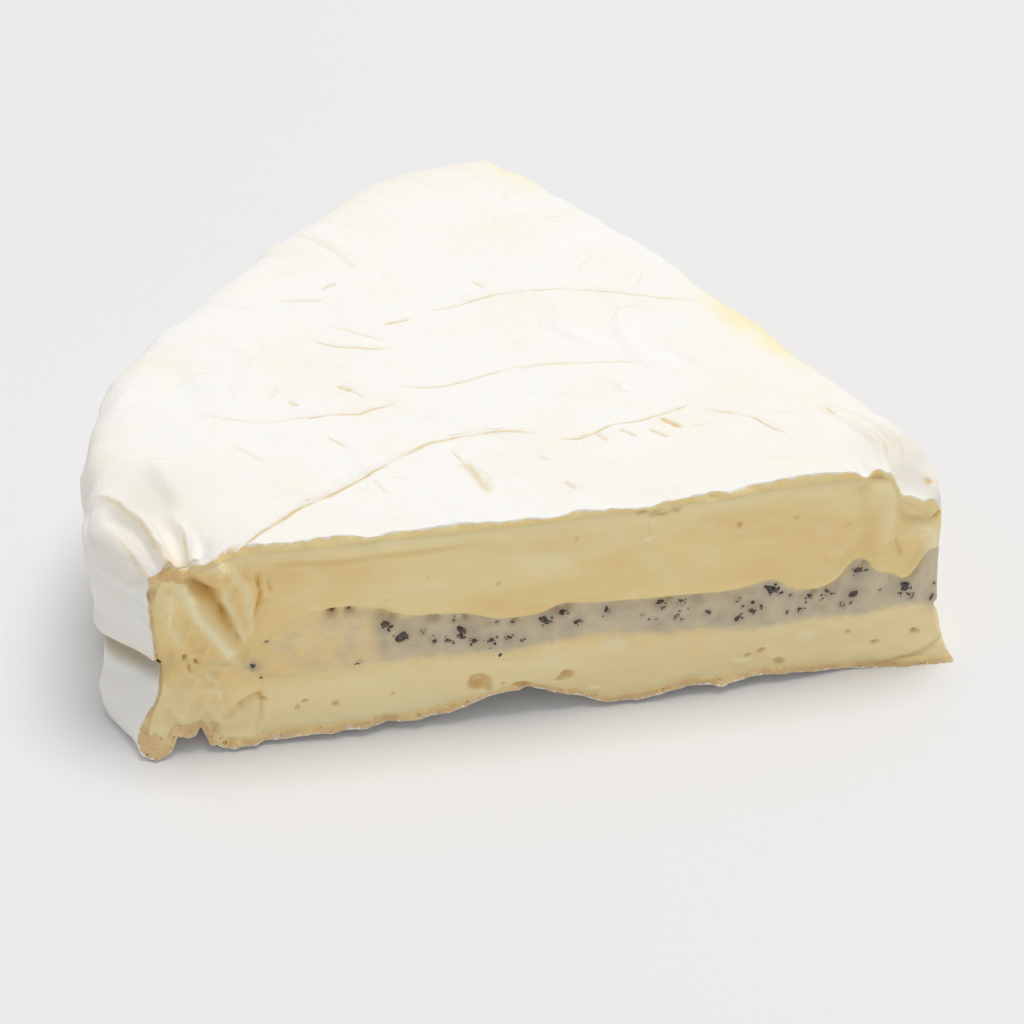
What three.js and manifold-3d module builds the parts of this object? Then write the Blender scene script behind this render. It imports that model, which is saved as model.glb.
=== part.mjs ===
// A wedge cut from a wheel of soft, bloomy-rind cheese. The wheel was split into two flat discs
// and filled with a layer of truffle cream, so the wedge has an upper and a lower disc of paste,
// each under its own rind, the cream between them, and pieces of truffle set in the cream.
//
// Units are millimetres, +Z is up. The pieces are designed with the tip of the wedge, which is
// the wheel's centre, at x = y = 0: the front cut runs from there along -X, the back cut is
// WEDGE_ANGLE further round, and the cheese stands on z = 0. At the end the whole group is moved
// so that its origin is the middle of its own footprint.
import * as THREE from "three";
import { mergeVertices } from "three/addons/utils/BufferGeometryUtils.js";
import Module from "manifold-3d";

const wasm = await Module();
wasm.setup();

// The wheel and the wedge
const WHEEL_RADIUS = 133.5;
const HEIGHT = 34.4;
const WEDGE_ANGLE = THREE.MathUtils.degToRad(70.4);
const RIND_THICKNESS = 1.5;
const GAP = 0.3; // clearance between pieces that touch

// The filling
const SEAM_HEIGHT = 14.5; // where the two discs meet at the rim
const CREAM_RADIUS = 108; // the filling stops short of the rim
const CREAM_FADE = 14; // width of the ring in which it thins out
// [distance from the tip, height] along the front cut
const CREAM_TOP = [
  [0, 18.5], [7, 15.8], [14, 19.2], [21, 15.9], [28, 18], [45, 18.2],
  [60, 18.7], [69, 17.7], [84, 19.9], [92, 21.5], [108, 18.5],
];
const CREAM_BOTTOM = [[0, 10.8], [28, 10.5], [52, 13], [68, 12.2], [84, 12.6], [108, 11]];

// How the soft cheese has settled
const PULLS = [
  // where the rim is pulled in (or stands out, below 0): angle from the front cut, depth at the
  // foot, depth from the seam up, angular width
  { angle: 0, foot: 7.3, upper: 12, width: 0.085 },
  { angle: 0.2, foot: 3.2, upper: 3.2, width: 0.08 },
  { angle: 0.68, foot: 1.8, upper: 1.8, width: 0.12 },
  { angle: 1.1, foot: -5, upper: -5, width: 0.12 },
  { angle: WEDGE_ANGLE, foot: 0.5, upper: 0.5, width: 0.05 },
];
const TIP_DIP = { radius: 9, depth: 6 }; // the top rounds over at the tip
const CROWN = { radius: 22, width: 22, height: 1 }; // and stands a little higher just behind it
const LIFTS = [
  // the underside is clear of the table along parts of the front cut
  { x: -63, height: 3.2, halfWidth: 13, depth: 22 },
  { x: -116.5, height: 3.2, halfWidth: 4.5, depth: 7 },
];
const LIFTED_ZONE = 12; // height up to which the cheese follows a lift
const TIP_FLARE = { reach: 3.5, height: 9, radius: 14 }; // the foot of the tip spreads outwards
const CUT_BELLY = 0.7; // the cut faces bulge this far at half height
const CUT_TURN = 5; // and turn back this far beyond the filling

// Fineness
const WHEEL_STEPS = 100; // round the whole wheel
const CUT_LEVELS = 8;
const SLAB_CELLS = { x: 44, y: 14 };

// Truffle pieces that the front cut shows: [distance from the tip, height, width]
const FRONT_TRUFFLES = [
  [6.1, 13.4, 2.1], [5.0, 11.7, 1.3], [13.6, 17.6, 1.8], [14.3, 13.9, 1.9], [15.8, 12.4, 1.1],
  [18.3, 14.4, 1.5], [21.2, 14.2, 1.1], [22.6, 12.3, 1.7], [25.7, 15.6, 1.1], [27.4, 16.7, 1.9],
  [29.8, 13.8, 2.0], [32.6, 12.1, 1.6], [32.8, 15.6, 1.1], [37.4, 14.2, 1.1], [41.7, 16.6, 1.2],
  [42.6, 14.3, 1.2], [44.9, 16.7, 1.3], [53.2, 16.8, 1.0], [57.9, 15.4, 1.1], [60.1, 17.0, 1.4],
  [62.4, 16.1, 2.1], [68.3, 14.0, 1.2], [71.1, 13.9, 1.7], [73.6, 14.2, 1.4], [75.5, 16.3, 1.9],
  [77.8, 14.9, 1.1], [79.8, 15.3, 1.3], [81.6, 16.9, 1.1], [84.6, 16.6, 2.0], [87.3, 18.6, 1.7],
];
const BACK_TRUFFLE_COUNT = 16;

const RIND = new THREE.MeshStandardMaterial({ color: 0xf7f4ec, roughness: 0.9, metalness: 0 });
const PASTE = new THREE.MeshStandardMaterial({ color: 0xe6d39a, roughness: 0.4, metalness: 0 });
const CREAM = new THREE.MeshStandardMaterial({ color: 0xcfc3a8, roughness: 0.45, metalness: 0 });
const TRUFFLE = new THREE.MeshStandardMaterial({ color: 0x2e2622, roughness: 0.7, metalness: 0 });

const { clamp, lerp, smoothstep } = THREE.MathUtils;
const bell = (distance, width) => Math.exp(-((distance / width) ** 2));

// Angle from the front cut, positive towards the back cut
const angleOf = (x, y) => Math.atan2(y, -x);

// A repeatable source of numbers from 0 to 1
function randomNumbers(seed) {
  let state = seed;
  return () => {
    state = (Math.imul(state, 1664525) + 1013904223) >>> 0;
    return state / 2 ** 32;
  };
}

// Moves every vertex of a geometry by a function of its place
function deform(geometry, move) {
  const places = geometry.getAttribute("position");
  const p = new THREE.Vector3();
  for (let i = 0; i < places.count; i++) {
    p.fromBufferAttribute(places, i);
    move(p);
    places.setXYZ(i, p.x, p.y, p.z);
  }
  return geometry;
}

function solidOf(geometry) {
  geometry.deleteAttribute("normal");
  geometry.deleteAttribute("uv");
  const merged = mergeVertices(geometry, 1e-4);
  return new wasm.Manifold(
    new wasm.Mesh({
      numProp: 3,
      vertProperties: merged.getAttribute("position").array,
      triVerts: new Uint32Array(merged.index.array),
    }),
  );
}

function meshOf(name, solid, material) {
  const { vertProperties, triVerts } = solid.getMesh();
  const geometry = new THREE.BufferGeometry()
    .setAttribute("position", new THREE.BufferAttribute(vertProperties, 3))
    .setIndex(new THREE.BufferAttribute(triVerts, 1));
  geometry.computeVertexNormals();
  const mesh = new THREE.Mesh(geometry, material);
  mesh.name = name;
  return mesh;
}

// Half section of the wheel, from the middle of its underside out, up the rim and back to the
// axis. The rim has a foot, a crease at the seam and a rounded shoulder.
function wheelSection() {
  const rim = new THREE.SplineCurve([
    new THREE.Vector2(WHEEL_RADIUS - 3, 0),
    new THREE.Vector2(WHEEL_RADIUS - 1.2, 2),
    new THREE.Vector2(WHEEL_RADIUS - 1.2, 8),
    new THREE.Vector2(WHEEL_RADIUS - 2.4, SEAM_HEIGHT),
    new THREE.Vector2(WHEEL_RADIUS - 0.4, 19.5),
    new THREE.Vector2(WHEEL_RADIUS, 25),
    new THREE.Vector2(WHEEL_RADIUS - 1.1, 30.5),
    new THREE.Vector2(WHEEL_RADIUS - 4, 33.4),
    new THREE.Vector2(WHEEL_RADIUS - 9, HEIGHT),
  ]).getPoints(18);
  const rings = [15, 30, 45, 53, 60, 67, 75, 90, 104, 110, 115, 120];
  return [
    ...[0, ...rings].map((r) => new THREE.Vector2(r, 0)),
    ...rim,
    ...rings.reverse().map((r) => new THREE.Vector2(r, HEIGHT)),
    new THREE.Vector2(TIP_DIP.radius, HEIGHT),
    new THREE.Vector2(TIP_DIP.radius * 0.6, HEIGHT - TIP_DIP.depth * 0.25),
    new THREE.Vector2(0, HEIGHT - TIP_DIP.depth),
  ];
}

// The section moved inwards by a distance, at right angles to itself
function inset(section, distance) {
  return section.map((point, i) => {
    const along = section[Math.min(i + 1, section.length - 1)]
      .clone()
      .sub(section[Math.max(i - 1, 0)])
      .normalize();
    const moved = new THREE.Vector2(-along.y, along.x).multiplyScalar(distance).add(point);
    moved.x = point.x === 0 ? 0 : Math.max(moved.x, 0);
    return moved;
  });
}

// The slump of the soft cheese, applied alike to the outside and the inside of the rind
function slump(p) {
  const radius = Math.hypot(p.x, p.y);
  const angle = angleOf(p.x, p.y);
  const rimShare = clamp(radius / WHEEL_RADIUS, 0, 1) ** 8;
  const upperShare = smoothstep(p.z, 2, SEAM_HEIGHT);
  let pull = 0;
  for (const { angle: middle, foot, upper, width } of PULLS) {
    pull += lerp(foot, upper, upperShare) * bell(angle - middle, width);
  }
  const scale = radius > 0 ? 1 - (pull * rimShare) / radius : 1;
  p.x *= scale;
  p.y *= scale;
  const up = clamp(p.z / HEIGHT, 0, 1);
  p.z += up ** 2 * CROWN.height * bell(radius - CROWN.radius, CROWN.width);
  for (const lift of LIFTS) {
    const reach = bell(p.x - lift.x, lift.halfWidth) * bell(Math.max(p.y, 0), lift.depth);
    p.z += lift.height * smoothstep(reach, 0.15, 1) * clamp(1 - p.z / LIFTED_ZONE, 0, 1);
  }
}

function wheel(insetDistance) {
  const section = inset(wheelSection(), insetDistance);
  const geometry = new THREE.LatheGeometry(section, WHEEL_STEPS).rotateX(Math.PI / 2);
  return solidOf(deform(geometry, slump));
}

// How far a cut face stands out from the flat plane through the tip: it bellies where the cheese
// is soft, and turns back where it meets the rim
function cutOffset(radius, z) {
  const belly = Math.sin(Math.PI * clamp(z / HEIGHT, 0, 1));
  const bow = Math.sin(Math.PI * clamp(radius / CREAM_RADIUS, 0, 1));
  const turned = smoothstep(radius, CREAM_RADIUS, CREAM_RADIUS * 1.25);
  return CUT_BELLY * (smoothstep(radius, 3, 12) * belly + bow) - CUT_TURN * turned;
}

// A place on a cut face, or beside it, given by its distance from the tip, its angle from the
// front cut and how far it stands out from that cut's flat plane
function besideCut(radius, angle, outwards) {
  const side = angle === 0 ? -1 : 1;
  return new THREE.Vector2(
    -radius * Math.cos(angle) + side * outwards * Math.sin(angle),
    radius * Math.sin(angle) + side * outwards * Math.cos(angle),
  );
}

// The solid that the knife's two cuts leave between them, with a blunt tip
function wedge() {
  const reach = WHEEL_RADIUS * 1.25;
  const radii = Array.from({ length: 25 }, (_, i) => lerp(4, reach, i / 24));
  const plan = new THREE.Shape([
    ...radii.map((r) => besideCut(r, 0, 0)),
    new THREE.Vector2(-reach, reach),
    ...radii.reverse().map((r) => besideCut(r, WEDGE_ANGLE, 0)),
  ]);
  plan.quadraticCurveTo(0, 0, -4, 0);
  const geometry = new THREE.ExtrudeGeometry(plan, {
    depth: HEIGHT + 8,
    steps: CUT_LEVELS,
    curveSegments: 6,
    bevelEnabled: false,
  }).translate(0, 0, -4);
  return solidOf(deform(geometry, shapeCut));
}

// Gives the cut faces their belly, and the tip its spreading foot
function shapeCut(p) {
  const radius = Math.hypot(p.x, p.y);
  const middle = WEDGE_ANGLE / 2;
  const angle = angleOf(p.x, p.y);
  const onCut = Math.min(Math.abs(angle), Math.abs(angle - WEDGE_ANGLE)) < 0.01;
  if (onCut) {
    const cut = angle < middle ? 0 : WEDGE_ANGLE;
    const place = besideCut(radius, cut, cutOffset(radius, p.z));
    p.set(place.x, place.y, p.z);
  }
  const foot = clamp(1 - Math.max(p.z, 0) / TIP_FLARE.height, 0, 1) ** 2;
  const flare = TIP_FLARE.reach * foot * (1 - smoothstep(radius, 2, TIP_FLARE.radius));
  p.x += Math.cos(middle) * flare;
  p.y -= Math.sin(middle) * flare;
}

// Height at a distance from the tip, with a smooth step from each point of a profile to the next
function profileHeight(profile, distance) {
  const next = profile.findIndex(([r]) => r >= distance);
  if (next === -1) return profile.at(-1)[1];
  if (next === 0) return profile[0][1];
  const [r0, z0] = profile[next - 1];
  const [r1, z1] = profile[next];
  return lerp(z0, z1, smoothstep(distance, r0, r1));
}

// A face of the filling. It runs from the front cut's profile to the same profile taken from the
// rim inwards on the back cut, and goes over into the seam outside the filling.
function fillingFace(profile, x, y) {
  const radius = Math.hypot(x, y);
  const round = smoothstep(angleOf(x, y), 0, WEDGE_ANGLE);
  const front = profileHeight(profile, radius);
  const back = profileHeight(profile, Math.abs(CREAM_RADIUS - radius));
  const fade = smoothstep(radius, CREAM_RADIUS - CREAM_FADE, CREAM_RADIUS);
  return lerp(lerp(front, back, round), SEAM_HEIGHT, fade);
}

// All the space above (side 1) or below (side -1) a face of the filling
function spaceBeside(profile, side, clearance) {
  const size = WHEEL_RADIUS * 1.3;
  const thickness = HEIGHT + 10;
  const box = new THREE.BoxGeometry(size, size, thickness, SLAB_CELLS.x, SLAB_CELLS.y, 1);
  box.translate(-size / 2 + 12, size / 2 - 12, 0);
  const solid = deform(box, (p) => {
    const onFace = Math.sign(p.z) !== side;
    const level = onFace ? clearance : thickness;
    p.z = fillingFace(profile, p.x, p.y) + side * level;
  });
  return solidOf(solid);
}

// A rough-cut crumb of truffle, with its middle at a place
function crumb(place, width, random) {
  const geometry = new THREE.IcosahedronGeometry(width / 2, 0);
  geometry.scale(0.8 + 0.4 * random(), 1, 0.7 + 0.3 * random());
  geometry.rotateY(Math.PI * random()).rotateX(Math.PI * random());
  return solidOf(geometry.translate(place.x, place.y, place.z));
}

// The same crumb grown on every side, which is the hole that it leaves in the cream
function pocket(solid, place, width) {
  const growth = (width / 2 + GAP) / (width / 2);
  return solid
    .translate([-place.x, -place.y, -place.z])
    .scale(growth * 1.06)
    .translate([place.x, place.y, place.z]);
}

// Where a crumb lies that shows on a cut face: its middle just behind the face
function crumbPlace(radius, height, width, angle) {
  const { x, y } = besideCut(radius, angle, cutOffset(radius, height) - 0.15 * width);
  const margin = width / 2 + 2 * GAP;
  const low = fillingFace(CREAM_BOTTOM, x, y) + margin;
  const high = fillingFace(CREAM_TOP, x, y) - margin;
  return new THREE.Vector3(x, y, clamp(height, low, high));
}

function backTruffles(random) {
  const step = (CREAM_RADIUS - 2 * CREAM_FADE) / BACK_TRUFFLE_COUNT;
  return Array.from({ length: BACK_TRUFFLE_COUNT }, (_, i) => [
    8 + (i + 0.3 + 0.4 * random()) * step,
    12 + 6 * random(),
    1.2 + 0.9 * random(),
  ]);
}

function crumbs(list, angle, random) {
  return list.map(([radius, height, width]) => {
    const place = crumbPlace(radius, height, width, angle);
    const solid = crumb(place, width, random);
    return { solid, hole: pocket(solid, place, width) };
  });
}

function build() {
  const cut = wedge();
  const outside = wheel(0).intersect(cut);
  const shell = outside.subtract(wheel(RIND_THICKNESS));
  const paste = wheel(RIND_THICKNESS + GAP).intersect(cut);
  const above = spaceBeside(CREAM_TOP, 1, GAP / 2);
  const below = spaceBeside(CREAM_BOTTOM, -1, GAP / 2);
  const layer = paste
    .subtract(spaceBeside(CREAM_TOP, 1, -GAP / 2))
    .subtract(spaceBeside(CREAM_BOTTOM, -1, -GAP / 2));

  const random = randomNumbers(7);
  const front = crumbs(FRONT_TRUFFLES, 0, random);
  const back = crumbs(backTruffles(random), WEDGE_ANGLE, random);
  const cream = [...front, ...back].reduce((rest, { hole }) => rest.subtract(hole), layer);

  const group = new THREE.Group();
  group.add(
    meshOf("rind_upper", shell.intersect(above), RIND),
    meshOf("paste_upper", paste.intersect(above), PASTE),
    meshOf("truffle_cream", cream, CREAM),
    meshOf("paste_lower", paste.intersect(below), PASTE),
    meshOf("rind_lower", shell.intersect(below), RIND),
  );
  for (const [side, pieces] of Object.entries({ front, back })) {
    pieces.forEach(({ solid }, i) => {
      const name = `truffle_${side}_${String(i + 1).padStart(2, "0")}`;
      group.add(meshOf(name, solid.intersect(cut), TRUFFLE));
    });
  }
  return group;
}

const cheese = build();
const bounds = new THREE.Box3().setFromObject(cheese);
const middle = bounds.getCenter(new THREE.Vector3());
cheese.position.set(-middle.x, -middle.y, -bounds.min.z);

export default cheese;
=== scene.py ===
"""The looks of a wedge of soft white-rind cheese with a truffle cream filling.

Everything is worked out in millimetres in the wedge's design frame, which part.mjs uses too:
the wheel's centre, where the wedge has its tip, is at x = y = 0, the front cut runs along -X,
the back cut is CUT_ANGLE further round and the cheese stands on z = 0. place_in_frame() takes
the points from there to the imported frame.
"""

import math

import bmesh
import bpy
import numpy as np
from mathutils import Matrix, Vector


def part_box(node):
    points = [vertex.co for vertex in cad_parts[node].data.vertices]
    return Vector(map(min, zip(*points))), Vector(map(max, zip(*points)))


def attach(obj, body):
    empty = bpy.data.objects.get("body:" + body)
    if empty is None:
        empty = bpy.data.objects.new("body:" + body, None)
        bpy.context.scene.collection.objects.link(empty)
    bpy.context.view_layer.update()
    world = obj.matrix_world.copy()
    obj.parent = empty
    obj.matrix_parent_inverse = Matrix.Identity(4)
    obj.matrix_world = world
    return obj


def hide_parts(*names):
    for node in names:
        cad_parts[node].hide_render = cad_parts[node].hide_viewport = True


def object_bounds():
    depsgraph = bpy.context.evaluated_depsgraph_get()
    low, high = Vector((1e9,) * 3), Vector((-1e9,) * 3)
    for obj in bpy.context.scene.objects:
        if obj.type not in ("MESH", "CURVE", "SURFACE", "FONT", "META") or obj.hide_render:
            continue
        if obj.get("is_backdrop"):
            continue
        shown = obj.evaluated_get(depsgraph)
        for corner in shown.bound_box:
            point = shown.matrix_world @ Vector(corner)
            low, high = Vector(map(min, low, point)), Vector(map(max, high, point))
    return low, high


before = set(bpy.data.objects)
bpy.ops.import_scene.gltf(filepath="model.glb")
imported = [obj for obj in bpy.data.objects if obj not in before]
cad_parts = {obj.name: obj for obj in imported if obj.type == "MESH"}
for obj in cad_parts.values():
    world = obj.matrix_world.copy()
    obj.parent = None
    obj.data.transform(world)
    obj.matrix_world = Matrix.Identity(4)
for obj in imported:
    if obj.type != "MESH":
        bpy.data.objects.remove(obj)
cad_low, cad_high = (Vector(corner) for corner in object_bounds())

MM = 0.001

# The wheel and the wedge, as in the CAD model, in mm
WHEEL_RADIUS = 133.5
HEIGHT = 34.4
CUT_ANGLE = math.radians(70.4)
SEAM_HEIGHT = 14.5
CREAM_RADIUS = 108.0
TIP_WIDTH = 0.8  # distance from the wheel's centre at which the wedge's tip is blunted
RIM_START = 112  # distance from which the rim's folds take over from those of the top
# The two cuts' common corner, from the box's corner that is nearest to it
TIP_INSET = Vector((0.00124, 0.00157, 0))
TIP = Vector((cad_high.x - TIP_INSET.x, cad_low.y + TIP_INSET.y, 0))

SHARP_ANGLE = math.radians(55)  # edges sharper than this stay sharp

# Where the rim is pulled in: angle from the front cut, how far at the foot and above the seam,
# and the width as an angle
PULLS = [
    (0, 6.2, 12, 0.085), (0.2, 4.6, 3.2, 0.08), (0.68, 1.8, 1.8, 0.12), (1.1, -5, -5, 0.12),
    (CUT_ANGLE, 0.5, 0.5, 0.05),
]


# ---------------------------------------------------------------- numbers and noise


def smoothstep(x, low, high):
    t = np.clip((x - low) / (high - low), 0, 1)
    return t * t * (3 - 2 * t)


def bell(distance, width):
    return np.exp(-((distance / width) ** 2))


def mix(a, b, share):
    return a + (b - a) * share


def lattice_value(ix, iy, iz, seed):
    """A repeatable number from -1 to 1 for each point of a whole-number lattice."""
    h = (ix * 374761393 + iy * 668265263 + iz * 1442695041 + seed * 974634777) & 0xFFFFFFFF
    h = ((h ^ (h >> 13)) * 1274126177) & 0xFFFFFFFF
    h = h ^ (h >> 16)
    return (h & 0xFFFF) / 32767.5 - 1


def noise(p, size, seed, octaves=3):
    """Smooth noise around 0 at points p, whose largest lumps are size mm apart."""
    total = 0.0
    for octave in range(octaves):
        q = p * (2.0**octave / size) + 17.3 * octave
        whole = np.floor(q).astype(np.int64)
        f = q - whole
        f = f * f * (3 - 2 * f)
        value = 0.0
        for corner in range(8):
            dx, dy, dz = corner & 1, corner >> 1 & 1, corner >> 2 & 1
            weight = 1.0
            for axis, d in enumerate((dx, dy, dz)):
                weight = weight * (f[..., axis] if d else 1 - f[..., axis])
            value = value + weight * lattice_value(
                whole[..., 0] + dx, whole[..., 1] + dy, whole[..., 2] + dz, seed + octave
            )
        total = total + value / 2.0**octave
    return total


def noise2(x, y, size, seed, octaves=3):
    return noise(np.stack(np.broadcast_arrays(x, y, 0.0), -1).astype(float), size, seed, octaves)


def line_distance(x, y, line):
    """Distance to a line of points, the side (+ or -) and the share of the way along it."""
    points = np.array(line, float)
    lengths = np.linalg.norm(np.diff(points, axis=0), axis=1)
    total = lengths.sum()
    best = np.full(np.shape(x), 1e9)
    side = np.ones(np.shape(x))
    along = np.zeros(np.shape(x))
    passed = 0.0
    for (x0, y0), (x1, y1), length in zip(points[:-1], points[1:], lengths):
        dx, dy = (x1 - x0) / length, (y1 - y0) / length
        t = np.clip((x - x0) * dx + (y - y0) * dy, 0, length)
        ex, ey = x - x0 - t * dx, y - y0 - t * dy
        distance = np.hypot(ex, ey)
        nearer = distance < best
        best = np.where(nearer, distance, best)
        side = np.where(nearer, np.where(dx * ey - dy * ex >= 0, 1.0, -1.0), side)
        along = np.where(nearer, (passed + t) / total, along)
        passed += length
    return best, side, along


def taper(along, ends, steepness):
    """1 in the middle of a line, ends at its ends."""
    return ends + (1 - ends) * np.clip(np.minimum(along, 1 - along) * steepness, 0, 1)


def smooth_curve(points, steps=24):
    """A dense Catmull-Rom curve through points."""
    p = np.array(points, float)
    p = np.vstack([2 * p[0] - p[1], p, 2 * p[-1] - p[-2]])
    t = np.linspace(0, 1, steps, endpoint=False)[:, None]
    pieces = []
    for a, b, c, d in zip(p[:-3], p[1:-2], p[2:-1], p[3:]):
        bend, twist = 2 * a - 5 * b + 4 * c - d, 3 * b - a - 3 * c + d
        pieces.append(0.5 * (2 * b + (c - a) * t + bend * t**2 + twist * t**3))
    return np.vstack([*pieces, p[-2:-1]])


# ---------------------------------------------------------------- the cheese's basic shape


def seam_height(angle):
    """Height of the fold in the rim where the two discs meet."""
    wander = 0.7 * noise2(angle * 4, 0.0, 1.0, 31, 2) * smoothstep(angle, 0.05, 0.3)
    return 12.9 + 2.7 * bell(angle - 0.035, 0.12) + wander


# [distance from the tip, height] of the foot's edge, which is lifted under the front cut
FOOT_LIFT = smooth_curve([
    (0, 0), (10, 0), (19, 0.8), (26, 1.6), (34, 1.4), (39, 1.7), (48, 0.8), (53, 1), (58, 2.3),
    (63, 4.1), (69, 4.6), (75, 2.8), (82, 1.7), (90, 1.3), (104, 0.9), (112, 0.5), (140, 0.5),
])
# and how far it is torn near the rim: distances from the tip, then heights
TORN_FOOT = (
    (107.6, 112, 113, 114, 114.5, 115.2, 115.9, 117.4, 118.8, 119.8, 120.8, 124),
    (0, 0.2, 0.9, 0.7, 1.9, 3.5, 2.8, 2.3, 2.5, 0.7, 0.1, 0),
)


def slump(p):
    """The settling of the soft cheese, which its skin and its layers share."""
    x, y, z = p[..., 0], p[..., 1], p[..., 2]
    radius = np.hypot(x, y)
    angle = np.arctan2(y, -x)
    rim_share = np.clip(radius / WHEEL_RADIUS, 0, 1) ** 8
    upper_share = smoothstep(z, -1, 11)
    pull = 0.0
    for middle, foot, upper, width in PULLS:
        pull = pull + mix(foot, upper, upper_share) * bell(angle - middle, width)
    pull = pull + 0.5 * noise2(angle * 9, z * 0.04, 1.0, 5, 2)
    scale = 1 - pull * rim_share / np.maximum(radius, 1)
    x, y = x * scale, y * scale
    up = np.clip(z / HEIGHT, 0, 1)
    crown = up**2 * bell(radius - 22, 22)
    uneven = up**2 * 0.45 * noise2(x, y, 34, 11, 2) * smoothstep(radius, 8, 30)
    back = -x * math.sin(CUT_ANGLE) - y * math.cos(CUT_ANGLE)
    hang = up**2 * 1.3 * bell(back, 7) * bell(radius - 24, 17)
    z = z + crown + uneven - hang
    front = np.clip(y, 0, None)
    torn = np.interp(-x, *TORN_FOOT) * bell(front, 5)
    z = z + torn * np.clip(1 - z / 9, 0, 1)
    lift = np.interp(-x, *FOOT_LIFT.T)
    reach = bell(front, 5 + 4 * lift) * (1 + 0.12 * noise2(x, 0.0, 2.5, 33, 2))
    z = z + lift * reach * np.clip(1 - z / 12, 0, 1)
    # the skin sags over the front cut beside the tip
    sag = 3.3 * bell(front, 2.8) * (1 - smoothstep(-x, 7.0, 9.2)) * smoothstep(-x, 1.0, 4.0)
    z = z - sag * smoothstep(z, 16, 31)
    # and the corner at the rim is squeezed together
    z = z - 3.0 * up**2 * bell(-x - 117.5, 7) * bell(front, 7)
    seam_share = bell(z - SEAM_HEIGHT, 6) * smoothstep(radius, RIM_START, 122)
    z = z + (seam_height(angle) - SEAM_HEIGHT) * seam_share
    return np.stack([x, y, z], -1)


def polar(radius, angle, z):
    radius, angle, z = np.broadcast_arrays(radius, angle, z)
    return np.stack([-radius * np.cos(angle), radius * np.sin(angle), z], -1)


OUTER_TOP = smooth_curve([
    (TIP_WIDTH, 26.6), (1.7, 29.2), (3.6, 31.6), (6.2, 33.2), (9.6, 34.1), (14.5, 34.4), (30, 34.4),
    (60, 34.4), (90, 34.4), (110, 34.4), (120, 34.5), (126, 34.3), (130, 33.2), (132.2, 31.2),
    (133.3, 28.2), (133.5, 25), (133.2, 21), (132.6, 17.6), (132.1, SEAM_HEIGHT),
])
OUTER_FOOT = smooth_curve([
    (TIP_WIDTH, 0), (20, 0), (60, 0), (100, 0), (124, 0), (129.2, 0.25), (131.2, 1.6), (131.9, 4.2),
    (131.8, 8), (131.4, 11.5), (130.9, SEAM_HEIGHT - 0.4),
])


class Skin:
    """A profile turned round the wheel's axis, addressed by the share of its length. The
    cheese lies to the right of the curve where hand is 1 and to the left where it is -1."""

    def __init__(self, curve, hand):
        steps = np.hypot(*np.diff(curve, axis=0).T)
        self.length = steps.sum()
        self.along = np.concatenate([[0], np.cumsum(steps)])
        self.curve = curve
        tangent = np.gradient(curve, self.along, axis=0)
        tangent /= np.linalg.norm(tangent, axis=1)[:, None]
        self.inwards = np.stack([tangent[:, 1], -tangent[:, 0]], 1) * hand

    def at(self, share, depth):
        """Radius and height at a share of the length, depth mm under the skin."""
        s = share * self.length
        radius, z = (np.interp(s, self.along, self.curve[:, i]) for i in (0, 1))
        nr, nz = (np.interp(s, self.along, self.inwards[:, i]) for i in (0, 1))
        return np.maximum(radius + nr * depth, TIP_WIDTH * 0.7), z + nz * depth


TOP_SKIN = Skin(OUTER_TOP, 1)
FOOT_SKIN = Skin(OUTER_FOOT, -1)


# ---------------------------------------------------------------- the two cut faces


def along_cuts(p):
    """Distance from the tip along the front and the back cut."""
    x, y = p[..., 0], p[..., 1]
    return -x, -x * math.cos(CUT_ANGLE) + y * math.sin(CUT_ANGLE)


FRONT_OUT = np.array([0.0, -1.0, 0.0])
BACK_OUT = np.array([math.sin(CUT_ANGLE), math.cos(CUT_ANGLE), 0.0])

# [distance from the tip, height] of the filling's edges on the front cut
CREAM_TOP = smooth_curve([
    (-4, 20.2), (0.9, 20), (2.3, 19.5), (3.7, 17.5), (5, 15.7), (6.4, 15.2), (8.2, 16.4), (9.8, 16.9),
    (11.3, 17.9), (12.4, 19.4), (14, 20), (15.5, 18.8), (17, 16.9), (18.6, 16), (20.5, 15.5),
    (23, 15.7), (25.2, 17.1), (27.6, 18.2), (33, 17.5), (42, 18), (54, 18.3), (60, 18.7), (64, 17.5),
    (70, 17.6), (76, 19.3), (84, 20), (90, 22.1), (95, 22.5), (101, 20.8), (106, 17.5), (109.5, 14.5),
    (112, 14.5), (140, 14.5),
])
CREAM_BOTTOM = smooth_curve([
    (-4, 8.6), (-0.4, 9.2), (1.3, 9.9), (4, 10.8), (7, 11), (14, 10.5), (21, 10.8), (29, 10.4),
    (37, 11.7), (45, 12.2), (53, 13.3), (60, 12.9), (68, 12.2), (76, 12.4), (84, 12.7), (94, 12.2),
    (101, 11.6), (106, 12.4), (109.5, 14.5), (112, 14.5), (140, 14.5),
])


# The back cut's filling is the front cut's turned round: from how far off the tip, over what length
BACK_START = 22
BACK_SPAN = 104


def cream_edge(curve, distance):
    return np.interp(distance, curve[:, 0], curve[:, 1])


def turned_round(r):
    """The distance on the front cut whose filling a place on the back cut repeats."""
    return np.where(r > BACK_START, BACK_SPAN - r, r)


def cream_level(curve, p):
    """Height of the filling's face over a point of the plan."""
    front, back = along_cuts(p)
    angle = np.arctan2(p[..., 1], -p[..., 0])
    round_share = smoothstep(angle, 0, CUT_ANGLE)
    wobble = 0.25 * noise2(front, back, 5, 41, 2) * (front < 105)
    on_front = cream_edge(curve, front)
    turned = np.where(back < BACK_SPAN, BACK_SPAN - back, back)
    near_tip = smoothstep(-back, -BACK_START, -6)
    on_back = mix(cream_edge(curve, turned), cream_edge(curve, back), near_tip)
    return mix(on_front, on_back, round_share) + wobble


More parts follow.
